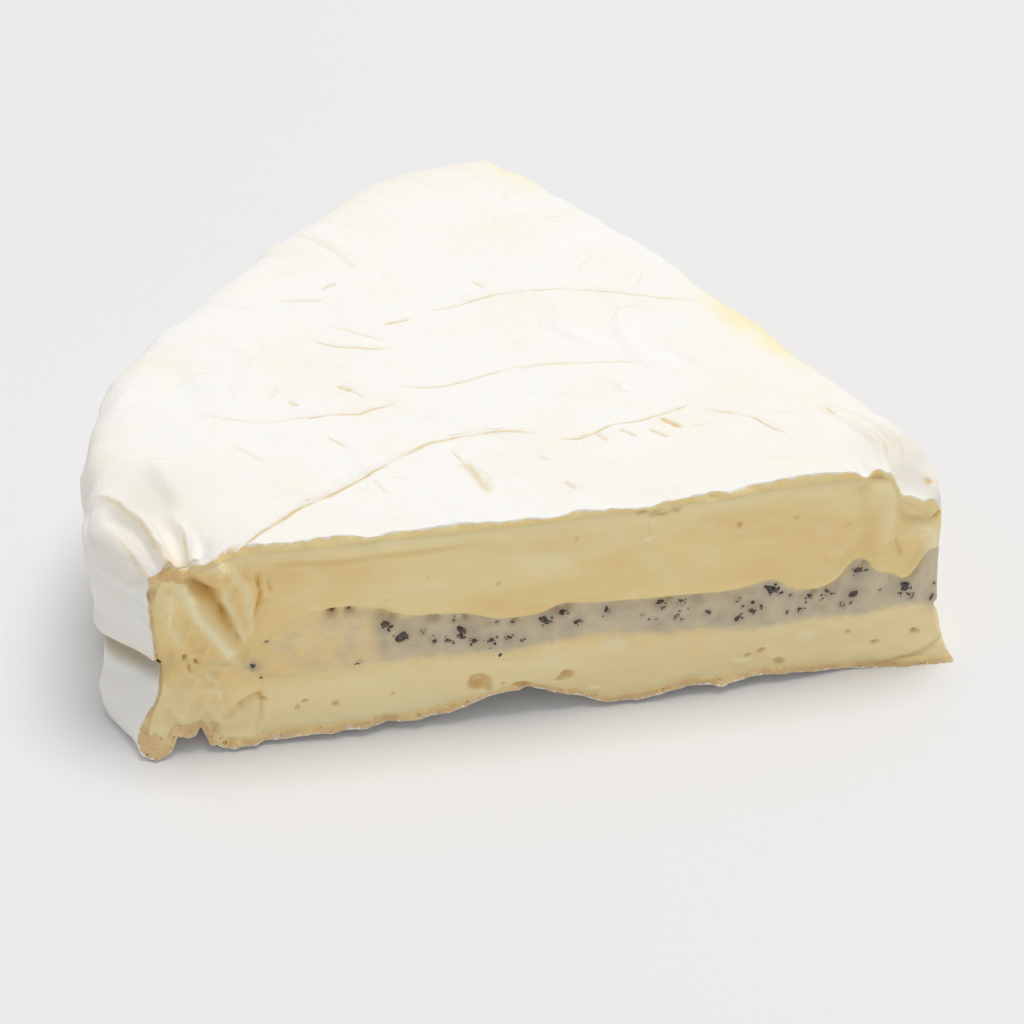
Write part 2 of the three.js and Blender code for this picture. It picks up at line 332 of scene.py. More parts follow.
# Ridges (above 0) and grooves on the front cut near the rim and the tip:
# line of [distance from the tip, height], height of the ridge, its width
FRONT_FOLDS = [
    ([(117, 29.6), (115.1, 23.5), (112.6, 19.6), (110.4, 16.4)], 1.5, 0.85),
    ([(118.6, 25.8), (118.9, 21.6), (117.6, 18.4)], 0.7, 0.6),
    ([(115.9, 28.4), (112.9, 25.7), (111.1, 22.9), (110.2, 21)], -2.3, 0.9),
    ([(113.6, 27.2), (112.6, 25.4)], -1.5, 1.3), ([(110.4, 21.3), (109, 18.7)], -1, 0.6),
    ([(111, 26.2), (109.9, 22.8), (108.6, 19)], 0.9, 0.65),
    ([(113.5, 31.2), (110, 30.4), (107.6, 27), (107.2, 23)], 0.7, 0.7),
    ([(105.6, 29.6), (105.8, 26.6), (106.4, 24), (106.6, 22.6)], -1.1, 0.4),
    ([(104.2, 29), (104.3, 26.6)], -0.6, 0.35), ([(107.2, 22), (107.3, 19.6)], 0.9, 0.4),
    ([(113.6, 12.6), (112.9, 11.7)], 0.9, 0.55),
    ([(113.6, 10.6), (112.3, 10), (111.9, 8.4), (112.4, 6.6)], 0.8, 0.5),
    ([(114.9, 11.6), (114.2, 9.6), (114.3, 7.4)], 0.5, 0.45),
    ([(119.6, 9.4), (118.4, 6), (117, 4.4)], 0.6, 0.9), ([(116.6, 12.8), (115, 12.2)], 0.5, 0.5),
    ([(106.4, 9), (108.6, 7.6), (111.2, 5.4)], -0.7, 0.55),
    ([(106, 11), (106, 7.9), (106.2, 4.4)], -0.45, 0.35), ([(107.5, 2.6), (111.6, 2.7)], 0.6, 0.5),
    ([(113.9, 4.4), (112.6, 3.2)], -0.8, 0.7),
    ([(13.4, 33.6), (13.4, 30), (12.2, 26.6), (12.4, 20.5)], -0.45, 1.5),
    ([(11.6, 33.6), (9.4, 33.4)], -0.9, 0.9), ([(8.6, 33.2), (8.6, 28.6), (9.8, 23)], 0.5, 1.2),
    ([(7.6, 28.8), (6.2, 26.2), (3.6, 25.4), (2.4, 25.5)], -0.9, 1),
    ([(3.6, 24.2), (2, 22.6), (1.6, 20.8)], 1.1, 1.2),
    ([(7.6, 23.4), (7.4, 21.8), (6.8, 19.4)], -0.6, 0.4),
    ([(-1.3, 5.9), (1.1, 3.6), (4.6, 1.7), (10, 0.6)], -0.55, 0.3),
    ([(-1.3, 7), (1.5, 4.7), (5, 2.8), (11, 1.5)], 0.4, 0.7), ([(2, 18.6), (1.4, 13)], 0.25, 0.35),
    ([(3.4, 16.8), (2.6, 12.4)], 0.2, 0.3),
]
# Eyes and dents in the front cut: distance from the tip, height, half their size both ways, depth
FRONT_EYES = [
    (72.9, 6.6, 2.1, 1.5, 1.5), (71.4, 5.5, 0.9, 0.7, 0.5), (66.5, 5.5, 1.3, 0.55, 0.7),
    (59.3, 6.3, 1.25, 0.85, 1), (60.4, 5.6, 0.8, 0.5, 0.5), (28.7, 5.7, 0.8, 0.45, 0.6),
    (30.6, 5.2, 0.6, 0.4, 0.4), (25.6, 3.6, 1.1, 0.45, 0.6), (14.7, 7.3, 0.45, 0.35, 0.4),
    (10.3, 4.6, 0.8, 0.35, 0.6), (94.7, 5.8, 0.8, 0.5, 0.6), (99.4, 6.8, 0.5, 0.4, 0.5),
    (100.4, 5.7, 0.5, 0.4, 0.4), (105.9, 8.2, 0.6, 0.4, 0.6), (4.3, 5.6, 0.75, 0.6, 1),
    (32.9, 28.8, 0.55, 0.55, 0.4), (24, 28.9, 0.45, 0.4, 0.25), (45.2, 32.4, 1.6, 0.7, 0.5),
    (47.8, 33, 1.1, 0.6, 0.4), (42.6, 32.6, 0.9, 0.5, 0.35), (36.5, 33.7, 0.4, 0.35, 0.5),
    (57.8, 29.6, 0.3, 0.3, 0.3), (116.7, 15.4, 0.45, 0.6, 0.7), (115.4, 14.7, 0.4, 0.4, 0.7),
    (116.4, 13.4, 0.3, 0.9, 0.4), (106.3, 8.9, 0.5, 0.4, 0.5),
]
# Raised smears of paste, paler and with a painted highlight: distance from the tip, height, half
# their size both ways, how far out
FRONT_SMEARS = [
    (47.1, 28.4, 0.9, 0.5, 0.35), (46.2, 31, 0.4, 0.9, 0.35), (44.7, 32.4, 0.7, 0.4, 0.3),
    (73.8, 17.6, 6, 0.6, 0.15), (55.1, 3.5, 1.2, 0.5, 0.45), (37.7, 2.6, 1.6, 0.6, 0.5),
    (31.7, 4.6, 1.8, 0.6, 0.5), (35.1, 1.4, 1, 0.5, 0.45), (26.4, 4.5, 1.2, 0.4, 0.3),
    (52.2, 10.4, 3.4, 2, 0.3), (68.5, 9.4, 2.6, 1, 0.25), (80, 8.2, 4, 0.8, 0.2),
    (21.7, 7.5, 3, 1.6, 0.3), (14, 10.2, 2.6, 0.9, 0.2), (96, 9.6, 3.2, 1.2, 0.25),
    (11.9, 16.1, 1.5, 1.2, 0.25), (88, 3.4, 1.4, 0.5, 0.3), (78.4, 2.6, 1.6, 0.5, 0.35),
    (63, 26, 5, 2, 0.2),
]
# Pits in the cream right under the lip of the upper disc: distance from the tip, width
LIP_PITS = [
    (95.2, 0.75), (92.6, 0.6), (87.6, 1.1), (86, 0.7), (80.2, 0.7), (79.2, 0.5), (75, 0.4),
    (67.2, 0.5), (61, 0.8), (59.2, 0.7), (43.5, 0.5), (20.4, 0.5), (12.6, 0.6),
]


def eyes_at(r, z, eyes):
    """Depth of the eyes at each point, and how far inside one it lies, from 0 to 1."""
    depth, inside = 0.0, 0.0
    r, z = r + 0.3 * noise2(r, z, 1.6, 151, 2), z + 0.25 * noise2(r, z, 1.6, 153, 2)
    for eye_r, eye_z, wide, high, deep in eyes:
        d = np.hypot((r - eye_r) / wide, (z - eye_z) / high)
        inside = np.maximum(inside, 1 - smoothstep(d, 0.75, 1.15))
        depth = depth + deep * (1 - smoothstep(d, 0.35, 1.1)) - 0.08 * deep * bell(d - 1.25, 0.3)
    return depth, inside


def lip_pits_at(r, z, stretch, share):
    """The nearness of the pits under the lip, one array after another."""
    for pit_r, width in LIP_PITS:
        pit_z = cream_edge(CREAM_TOP, pit_r) - 0.55
        yield bell(np.hypot((r - pit_r) / stretch, z - pit_z), width * share)


def seeded_eyes(seed, count):
    """More small eyes, scattered over a cut."""
    random = np.random.default_rng(seed)
    eyes = []
    while len(eyes) < count:
        r, z = random.uniform(4, 116), random.uniform(3.2, 31)
        wide = random.uniform(0.25, 0.6)
        if 9.5 < z < 22 and r < 104:
            continue
        wide *= 1.0 if z < 8 else 0.7
        eyes.append((r, z, wide, wide * random.uniform(0.6, 0.9), wide * random.uniform(0.5, 0.9)))
    return eyes


BACK_EYES = [
    (30, 6, 1.9, 1.1, 1.2), (52, 5.2, 0.9, 0.6, 0.7), (64.5, 7, 1.4, 0.8, 0.9), (88, 6.2, 2, 1, 1.2),
    (97, 25, 1.2, 0.7, 0.8), (41, 27.5, 0.9, 0.6, 0.6), (18, 28, 0.7, 0.5, 0.5),
    (74, 28.4, 1, 0.6, 0.6),
]
EYES = {
    "front": FRONT_EYES + seeded_eyes(3, 9),
    "back": BACK_EYES + seeded_eyes(4, 24),
}


def lip(z, edge_z, strength):
    """The upper disc bulges over the filling, which is dragged in under it."""
    above = z - edge_z
    bulge = 0.55 * bell(above - 0.9, 1.3) * smoothstep(above, -0.15, 0.45)
    under = -0.5 * bell(np.minimum(above + 0.25, 0), 1.1) * smoothstep(-above, -0.25, 0.15)
    return (bulge + under) * strength


def smears_at(r, z):
    """How far the front cut's smears stand out at each point."""
    out = 0.0
    for smear_r, smear_z, wide, high, height in FRONT_SMEARS:
        d = np.hypot((r - smear_r) / wide, (z - smear_z) / high)
        out = out + height * (1 - smoothstep(d, 0.35, 1.25))
    return out


# How far the cuts lie back at the rim: on the front cut at the foot and above it, on the back cut
FRONT_RECESS = (1.0, 5.0)
BACK_RECESS = 1.5


def cut_relief(side, r, z):
    """How far a cut face stands out of the flat plane through the tip."""
    seed = 100 if side == "front" else 200
    belly = np.sin(np.pi * np.clip(z / HEIGHT, 0, 1)) * smoothstep(r, 3, 12)
    bow = np.sin(np.pi * np.clip(r / CREAM_RADIUS, 0, 1))
    out = 0.7 * (belly + bow)
    recess = BACK_RECESS
    if side == "front":
        recess = mix(*FRONT_RECESS, smoothstep(z, 0, 11))
    out = out - recess * smoothstep(r, 106, 128)
    out = out + 0.38 * noise2(r / 2.4, z, 9, seed, 3)  # swells, drawn out along the cut
    out = out + 0.09 * noise2(r / 5.0, z, 1.6, seed + 7, 2)  # knife drag
    edges = bell(z - 33.5, 2.2) + bell(z - 1.5, 2.4)
    out = out + 0.24 * edges * noise2(r, z, 2.6, seed + 11, 3)
    ridges = (1 - np.abs(noise2(r / 2.2, z, 7, seed + 15, 2))) ** 3
    out = out + 0.22 * (ridges - 0.3) + 0.06 * noise2(r / 1.5, z, 2.6, seed + 17, 2)
    ledge = 1.5 + 0.45 * noise2(r, 0.0, 3.5, seed + 13, 2)
    out = out + ledge * (1 - smoothstep(z, 0, 4.5)) * smoothstep(r, 14, 30)
    band = smoothstep(z + 0.5 * noise2(r, 0.0, 12, seed + 3, 2), 30.3, 31.2)
    out = out + 0.16 * band * smoothstep(r, 24, 60) * (1 - smoothstep(r, 96, 103))
    edge = cream_edge(CREAM_TOP, r if side == "front" else turned_round(r))
    shown = smoothstep(r, 1, 5) * (1 - smoothstep(r, 92, 101))
    if side == "front":  # no lip where the paste is smeared over the filling
        shown = shown * (1 - 0.8 * bell(r - 25.5, 3) - 0.8 * bell(r - 10.5, 3.4))
    out = out + lip(z, edge, shown * (0.75 + 0.35 * noise2(r, 0.0, 14, seed + 9, 2)))
    depth, _ = eyes_at(r, z, EYES[side])
    out = out - depth
    if side == "front":
        out = out + smears_at(r, z)
        out = out + front_folds_at(r, z)
        out = out - 0.7 * sum(lip_pits_at(r, z, 1.3, 0.8))
    else:
        out = out + 1.6 * bell(r - 82, 16) * smoothstep(z, 8, 26)
    return out


def front_folds_at(r, z):
    """The folds of the front cut, and the crumpled paste where the corner is squeezed."""
    warp_r = r + 0.35 * noise2(r, z, 3.2, 141, 2)
    warp_z = z + 0.35 * noise2(r, z, 3.2, 143, 2)
    out = 0.0
    for line, height, width in FRONT_FOLDS:
        distance, _, along = line_distance(warp_r, warp_z, line)
        out = out + height * taper(along, 0.35, 5) * np.exp(-((distance / width) ** 1.4))
    squeezed = smoothstep(r, 102, 109)
    ridges = 1 - np.abs(noise2(r * 1.2 + z * 0.5, z * 0.6, 4.2, 145, 2))
    fine = 1 - np.abs(noise2(r + z * 0.3, z * 0.8, 2.0, 149, 2))
    crumple = 0.75 * (ridges**2 - 0.4) + 0.32 * (fine**3 - 0.3) + 0.10 * noise2(r, z, 1.2, 147, 2)
    return out + squeezed * crumple


def squeezed_out(r_back, z):
    """Paste pressed out over the back cut from under the rind, which itself stays back."""
    high = smoothstep(z, 17, 29)
    return high * (2.6 * bell(r_back - 54, 17) + 2.0 * bell(r_back - 117, 9))


def tip_foot(p):
    """The foot of the tip spreads out over the table."""
    radius = np.hypot(p[..., 0], p[..., 1])
    low = np.clip(1 - np.clip(p[..., 2], 0, None) / 8.5, 0, 1) ** 1.6
    reach = 3.4 * low * (1 - smoothstep(radius, 2, 14))
    step = 0.6 * smoothstep(-np.abs(p[..., 2] - 9.3), -1.4, 0) * (1 - smoothstep(radius, 1, 6))
    shove = (reach - step)[..., None]
    p = p + shove * np.array([math.cos(CUT_ANGLE / 2), -math.sin(CUT_ANGLE / 2), 0])
    return np.concatenate([p[..., :2], np.maximum(p[..., 2:], 0)], -1)


def carve(p, front_share, back_share, paste=False):
    """Moves points that lie on or near the two cuts out to the cut faces' relief."""
    r_front, r_back = along_cuts(p)
    z = p[..., 2]
    front = cut_relief("front", r_front, z) * front_share
    back = cut_relief("back", r_back, z)
    if paste:
        back = back + squeezed_out(r_back, z)
    back = back * back_share
    p = p + front[..., None] * FRONT_OUT + back[..., None] * BACK_OUT
    return tip_foot(p)


# ---------------------------------------------------------------- meshes


class Box:
    """The surface of a box-shaped lattice of (n + 1) x (m + 1) x (k + 1) points. Its first
    direction runs from the tip to the rim, its second from the front to the back cut and its
    third outwards or upwards. The rind's hidden inner face has only every step-th column."""

    def __init__(self, n, m, k):
        self.n, self.m, self.k = n, m, k
        self.quads, self.triangles = [], []

    def code(self, i, j, l):
        i, j, l = np.broadcast_arrays(i, j, l)
        return (i * (self.m + 1) + j) * (self.k + 1) + l

    def patch(self, codes, flip):
        cells = [codes[:-1, :-1], codes[1:, :-1], codes[1:, 1:], codes[:-1, 1:]]
        corners = [c.ravel() for c in cells]
        self.quads.append(np.stack(corners[::-1] if flip else corners, 1))

    def sides(self):
        i, j, l = np.arange(self.n + 1), np.arange(self.m + 1), np.arange(self.k + 1)
        self.patch(self.code(i[:, None], 0, l), False)
        self.patch(self.code(i[:, None], self.m, l), True)
        self.patch(self.code(0, j[:, None], l), True)
        self.patch(self.code(self.n, j[:, None], l), False)

    def full(self, level):
        i, j = np.arange(self.n + 1), np.arange(self.m + 1)
        self.patch(self.code(i[:, None], j, level), level == 0)

    def sparse(self, level, step):
        """A face with only every step-th column, apart from its rows at the tip and the rim."""
        flip = level == 0
        i, j = np.arange(1, self.n), np.arange(0, self.m + 1, step)
        self.patch(self.code(i[:, None], j, level), flip)
        for row, next_row, turned in ((0, 1, flip), (self.n, self.n - 1, not flip)):
            self.stitch(row, next_row, level, step, turned)

    def stitch(self, fine_row, coarse_row, level, step, flip):
        """Triangles between a row with every column and the sparse one beside it."""
        found = []
        for j in range(0, self.m, step):
            middle = j + step // 2
            left, right = (self.code(coarse_row, c, level) for c in (j, j + step))
            for c in range(j, j + step):
                here, there = (self.code(fine_row, x, level) for x in (c, c + 1))
                found.append((here, left if c < middle else right, there))
                if c + 1 == middle:
                    found.append((there, left, right))
        triangles = np.array(found)
        self.triangles.append(triangles[:, ::-1] if flip else triangles)

    def points(self):
        """The lattice's used points as shares (a, b, c) and the faces that join them."""
        quads = np.vstack(self.quads)
        triangles = np.vstack(self.triangles) if self.triangles else np.zeros((0, 3), int)
        corners = np.concatenate([quads.ravel(), triangles.ravel()])
        codes, index = np.unique(corners, return_inverse=True)
        l = codes % (self.k + 1)
        j = codes // (self.k + 1) % (self.m + 1)
        i = codes // ((self.k + 1) * (self.m + 1))
        quads = index[: quads.size].reshape(-1, 4)
        triangles = index[quads.size :].reshape(-1, 3)
        return i / self.n, j / self.m, l / self.k, quads, triangles


def place_in_frame(p):
    return p * MM + np.array(TIP)


def add_values(mesh, key, values):
    """One value per vertex, for the materials."""
    layer = mesh.attributes.new(key, "FLOAT", "POINT")
    values = np.broadcast_to(values, (len(mesh.vertices),))
    layer.data.foreach_set("value", values.astype(np.float32))


def add_object(name, data):
    thing = bpy.data.objects.new(name, data)
    bpy.context.scene.collection.objects.link(thing)
    return thing


def make_mesh(name, points, quads, triangles, attributes):
    """A smooth mesh with one value per vertex for each attribute."""
    corners = points[quads] - points.mean(0)
    facing = np.cross(corners[:, 2] - corners[:, 0], corners[:, 3] - corners[:, 1])
    if np.einsum("ij,ij->", corners[:, 0], facing) < 0:  # the faces are inside out
        quads, triangles = quads[:, ::-1], triangles[:, ::-1]
    loops = np.concatenate([quads.ravel(), triangles.ravel()]).astype(np.int32)
    sizes = np.concatenate([np.full(len(quads), 4), np.full(len(triangles), 3)])
    starts = np.concatenate([[0], np.cumsum(sizes)[:-1]]).astype(np.int32)
    mesh = bpy.data.meshes.new(name)
    mesh.vertices.add(len(points))
    mesh.vertices.foreach_set("co", place_in_frame(points).astype(np.float32).ravel())
    mesh.loops.add(len(loops))
    mesh.loops.foreach_set("vertex_index", loops)
    mesh.polygons.add(len(sizes))
    mesh.polygons.foreach_set("loop_start", starts)
    mesh.update(calc_edges=True)
    mesh.validate()
    mesh.shade_smooth()
    mesh.set_sharp_from_angle(angle=SHARP_ANGLE)
    for key, values in attributes.items():
        add_values(mesh, key, values)
    return add_object(name, mesh)


def add_piece(piece, material, slot, *nodes):
    piece.data.materials.append(material)
    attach(piece, "root")
    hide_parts(*nodes)
    return piece


# ---------------------------------------------------------------- the rind

# Thin creases in the top: line of [x, y] points, strength from 0 to 1, width in mm
CREASES = [
    ([(-112.6, -4), (-107.8, 0.7), (-104.5, 3.5), (-95, 10.4), (-80.3, 20.2)], 0.75, 0.2),
    ([(-80.3, 20.2), (-75.5, 23.2), (-69.9, 24.3), (-64.1, 24.2), (-59, 22.6)], 0.6, 0.3),
    ([(-108.4, 41), (-103.2, 37.2), (-96.8, 35.7), (-91.7, 36)], 0.25, 0.2),
    ([(-94, 36.2), (-88.5, 35.7), (-83, 34.5), (-78.1, 37.2)], 0.6, 0.2),
    ([(-76, 42), (-71, 40.8), (-64.4, 41.6), (-58, 44)], 0.45, 0.22),
    ([(-58, 44), (-50.6, 44.3), (-40.8, 42.3), (-36.9, 40.7)], 0.35, 0.22),
    ([(-86.3, 60.7), (-82.3, 57.7), (-74.3, 55.1)], 0.55, 0.22),
    ([(-82.3, 64.3), (-74.8, 57.8)], 0.3, 0.2), ([(-89.3, 75.1), (-81.5, 73.8)], 0.4, 0.25),
    ([(-66, 66.6), (-59.5, 67.8), (-53.7, 69.3), (-48.9, 69.6), (-42, 68.6)], 0.55, 0.22),
    ([(-42, 68.6), (-33.6, 65.1), (-23.4, 60.8)], 0.4, 0.22), ([(-57, 75), (-55.2, 72)], 0.35, 0.25),
    ([(-55.6, 19.9), (-52.5, 19.3), (-46.6, 22.4)], 0.7, 0.2),
    ([(-46.6, 22.4), (-42.1, 22.4), (-37.6, 24.2), (-33.6, 26)], 0.6, 0.2),
    ([(-72.2, 19.6), (-71, 15.5)], 0.4, 0.25), ([(-89.5, 28.8), (-87.7, 25.4)], 0.4, 0.22),
    ([(-83.4, 42.6), (-82, 40.2)], 0.4, 0.22),
    ([(-30.8, 23.7), (-26.4, 20.7), (-24.5, 18.2), (-21.4, 13.3)], 0.5, 0.22),
    ([(-13.2, 21.2), (-11.4, 17.5), (-9.2, 14)], 0.7, 0.22),
    ([(-9.2, 14), (-7.6, 8), (-8.2, 3.5)], 0.25, 0.3),
    ([(-6.4, 12.8), (-4.9, 8), (-5.6, 3.4)], 0.2, 0.3),
    ([(-117.2, -2), (-119.2, 2.8), (-121.8, 10.8), (-123.9, 15.8), (-127, 22)], 0.35, 0.25),
    ([(-115.2, -2), (-115.9, 7)], 0.3, 0.22),
    ([(-118.8, -2), (-122.6, 4.5), (-125.4, 11)], 0.25, 0.22),
]
# Blurred tan marks, in the same way
MARKS = [
    ([(-71, 15.5), (-69.4, 8.6)], 0.6, 0.75), ([(-68.6, 11), (-69.2, 7.4)], 0.35, 0.6),
    ([(-49.8, 19.9), (-49, 18.1)], 0.5, 0.35), ([(-45.9, 20.2), (-44.1, 18.2)], 0.6, 0.35),
    ([(-41.2, 19.5), (-39.6, 17.2)], 0.6, 0.32), ([(-38.6, 22.2), (-36.9, 19.8)], 0.9, 0.5),
    ([(-59.4, 15.9), (-58.5, 14.4)], 0.45, 0.35), ([(-57.7, 7.3), (-56.8, 5.9)], 0.5, 0.4),
    ([(-104.2, 29.6), (-100.6, 23.6)], 0.35, 0.3), ([(-85.2, 14.3), (-84.4, 10.8)], 0.3, 0.3),
    ([(-93.2, 41.2), (-92.6, 40.2)], 0.6, 0.45), ([(-84.8, 44.6), (-83.6, 43)], 0.8, 0.42),
    ([(-81.1, 77.4), (-78.9, 78.8)], 0.55, 0.35), ([(-73.6, 63.1), (-70.1, 64.2)], 0.7, 0.35),
    ([(-14.4, 20.5), (-12.7, 17.4)], 0.6, 0.3), ([(-81, 101), (-74.5, 85.2)], 0.25, 0.5),
    ([(-2.6, 1.4), (-2.4, 1.2)], 0.9, 0.4), ([(-109.6, 1.2), (-108.6, 0.6)], 0.8, 0.45),
]
# Soft folds of the skin: line, height, width
PLEATS = [
    ([(-116.8, -2), (-118.6, 2.8), (-121.2, 10.8), (-123.2, 15.8), (-126.4, 22)], 1.1, 1),
    ([(-118.6, -2), (-120.8, 3.2), (-123.4, 10.4), (-125.6, 15)], -0.9, 0.9),
    ([(-119.8, -1), (-123.6, 3.5), (-126.4, 9.4)], 0.7, 0.9),
    ([(-116, -2), (-117.2, 5), (-118.2, 12)], -1, 1),
    ([(-114.9, -2), (-115.4, 6), (-116.4, 11)], 0.8, 0.8),
    ([(-113.4, -2), (-113.2, 4), (-114.2, 9)], -0.6, 0.9),
    ([(-117.6, 12), (-118.9, 18), (-120.9, 25)], -0.7, 4),
    ([(-114.6, 14), (-116, 21), (-116.6, 27)], 0.6, 1.4),
    ([(-112.2, -2), (-107.4, 1.9), (-95.4, 11.6), (-81, 21.4), (-70, 25.6)], 0.35, 0.8),
    ([(-16, 21), (-11.2, 16), (-8.4, 8), (-9, 1)], 0.45, 0.8),
    ([(-12.6, 24), (-7.2, 15), (-5.4, 6)], 0.4, 0.7),
    ([(-34.6, 64.6), (-37.6, 54), (-36.6, 42)], 0.35, 1.3),
    ([(-45.2, 63.6), (-46.6, 55.5), (-42, 47)], 0.4, 1.3), ([(-42.6, 36.7), (-41, 30.9)], 0.35, 0.8),
    ([(-30, 52), (-33, 45), (-29, 38)], -0.35, 1.3), ([(-109.4, 58.8), (-107.8, 41)], -0.5, 2.6),
    ([(-116, 52), (-120.9, 46)], 0.5, 1.8), ([(-100, 66), (-96, 56), (-99, 47)], 0.35, 1.6),
    ([(-81, 101), (-77, 92), (-74.5, 85.2)], -0.4, 0.8),
    ([(-88, 8), (-84.4, 16), (-86, 24)], 0.25, 1.2), ([(-60, 34), (-48, 32), (-38, 34)], -0.3, 1.4),
]


def seeded_creases(seed, count):
    """More short, faint creases."""
    random = np.random.default_rng(seed)
    creases = []
    while len(creases) < count:
        r, angle = 12 + 112 * math.sqrt(random.random()), random.uniform(0.05, CUT_ANGLE - 0.05)
        x, y = -r * math.cos(angle), r * math.sin(angle)
        turn, length = random.normal(0.35, 0.6), random.uniform(1.5, 7)
        line = [(x, y)]
        for _ in range(3):
            turn += random.normal(0, 0.25)
            x, y = x + math.cos(turn) * length / 3, y + math.sin(turn) * length / 3
            line.append((x, y))
        creases.append((line, random.uniform(0.05, 0.2), random.uniform(0.15, 0.25)))
    return creases


ALL_CREASES = CREASES + seeded_creases(21, 70)
CREASE_REACH = 2.0  # mm


def wavy(x, y):
    return x + 0.4 * noise2(x, y, 7.0, 61, 3), y + 0.4 * noise2(x, y, 7.0, 62, 3)


def marks_at(x, y):
    """How strongly the blurred marks colour each point of the top, from 0 to 1."""
    x, y = wavy(x, y)
    tan = np.zeros(x.shape)
    for line, power, wide in MARKS:
        distance, _, _ = line_distance(x, y, line)
        tan = np.maximum(tan, power * bell(distance, wide))
    return tan


def pleats_at(x, y):
    """Height of the skin's soft folds at each point of the top."""
    x, y = wavy(x, y)
    out = np.zeros(x.shape)
    for line, height, wide in PLEATS:
        distance, _, along = line_distance(x, y, line)
        out = out + 1.3 * height * taper(along, 0.25, 4) * bell(distance, wide)
    return out


def creases_at(x, y):
    """For points of the top: signed and unsigned distance to the nearest crease's line, the
    crease's strength there and its width."""
    best = np.full(x.shape, CREASE_REACH)
    signed = np.full(x.shape, CREASE_REACH)
    strength = np.zeros(x.shape)
    width = np.full(x.shape, 0.25)
    x, y = wavy(x, y)
    for line, power, wide in ALL_CREASES:
        corner = np.array(line)
        low, high = corner.min(0) - CREASE_REACH, corner.max(0) + CREASE_REACH
        near = (x > low[0]) & (x < high[0]) & (y > low[1]) & (y < high[1])
        if not near.any():
            continue
        distance, side, along = line_distance(x[near], y[near], line)
        closer = distance < best[near]
        best[near] = np.where(closer, distance, best[near])
        signed[near] = np.where(closer, distance * side, signed[near])
        strength[near] = np.where(closer, power * taper(along, 0.35, 7), strength[near])
        width[near] = np.where(closer, wide, width[near])
    return best, signed, strength, width


# Where the corner is pinched: distance along the skin from the tip, and from the cut
PINCH = (126.5, 0.0)


def top_swell(p, skin_mm, from_front, from_back):
    """How far the top rind stands out of its smooth profile."""
    x, y = p[..., 0], p[..., 1]
    best, _, strength, width = creases_at(x, y)
    out = -0.30 * strength * bell(best, 0.5 + width)
    out = out + 0.12 * strength * bell(best - 1.3, 0.7)
    out = out - 0.35 * marks_at(x, y)
    flat = 1 - smoothstep(skin_mm, 121, 133)
    out = out + 0.22 * noise(p, 16, 71, 3) + 0.10 * noise(p, 3.4, 75, 3)
    stretched = np.stack([x * 0.5 + y * 0.25, y * 1.2 - x * 0.35, p[..., 2]], -1)
    folds = 1 - np.abs(noise(stretched, 13, 79, 2))
    out = out + (0.10 * noise(stretched, 6, 78, 2) + 0.30 * folds**3) * flat
    # the skin is gathered towards the pinched corner
    du, dv = skin_mm - PINCH[0], from_front - PINCH[1]
    distance = np.hypot(du, dv)
    turn = np.arctan2(du, dv + 1e-6)
    rays = np.sin(turn * 9 + 1.3 * noise2(distance, turn * 6, 7, 81, 2)) * 0.8
    rays = rays + 0.6 * np.sin(turn * 17 + 2.1)
    out = out + 0.42 * rays * bell(distance, 15) * smoothstep(distance, 0.5, 5)
    out = out - 1.2 * bell(np.hypot(du + 1, dv), 4.0)
    # the front edge is uneven
    uneven = 0.5 * noise2(x, 0.0, 11, 91, 3) + 0.14 * noise2(x, y, 2.2, 92, 2)
    dips = 1.2 * bell(x + 12.9, 0.9) + 0.5 * bell(x + 9.6, 0.8) + 0.7 * bell(x + 47, 5)
    out = out + bell(from_front, 4) * (uneven - dips)
    out = out + bell(from_back, 5) * 0.5 * noise2(x, y, 10, 93, 3)
    return out


# Sloping creases round the rim: angle and height of both ends, depth, width
RIM_CREASES = [
    ((0, 27), (0.16, 30.5), 0.55, 1), ((0, 24), (0.13, 26.5), 0.4, 0.9),
    ((0.35, 27.5), (0.62, 25.5), 0.45, 0.9), ((0.7, 22.5), (1, 24.5), 0.4, 0.8),
    ((0.9, 29), (1.2, 27.2), 0.5, 1), ((0.2, 19.5), (0.45, 18), 0.35, 0.8),
]


def rim_swell(p):
    """Creases and sagging folds of the rind round the rim."""
    angle = np.arctan2(p[..., 1], -p[..., 0])
    arc, z = angle * WHEEL_RADIUS, p[..., 2]
    out = 0.45 * noise2(arc / 1.5, z, 7, 101, 3) + 0.12 * noise2(arc, z, 2.2, 105, 2)
    sag = noise2(arc / 2.2, z * 2.2, 10, 107, 2)
    out = out + 0.45 * (1 - np.abs(sag)) ** 3 - 0.35
    gathers = np.sin(z * 2.4 + 2.2 * noise2(arc, z, 4, 111, 2))
    out = out + 0.45 * gathers * bell(arc, 5.5) * smoothstep(z, 17, 21) * (1 - smoothstep(z, 30, 32))
    for (a0, z0), (a1, z1), depth, width in RIM_CREASES:
        line = [(a0 * WHEEL_RADIUS, z0), (a1 * WHEEL_RADIUS, z1)]
        distance, _, _ = line_distance(arc, z + 0.5 * noise2(arc, z, 6, 109, 2), line)
        out = out - depth * bell(distance, width)
    return out


# How thick the cut rind is at heights up the front corner of the rim
CORNER_HEIGHTS = (0, 1.5, 4, 7, 10, 17.7, 24, 26.5, 29, 31, 33)
CORNER_THICKNESSES = (2.6, 2.6, 1.9, 1.2, 0.9, 1.0, 1.9, 3.4, 3.8, 3.2, 1.9)


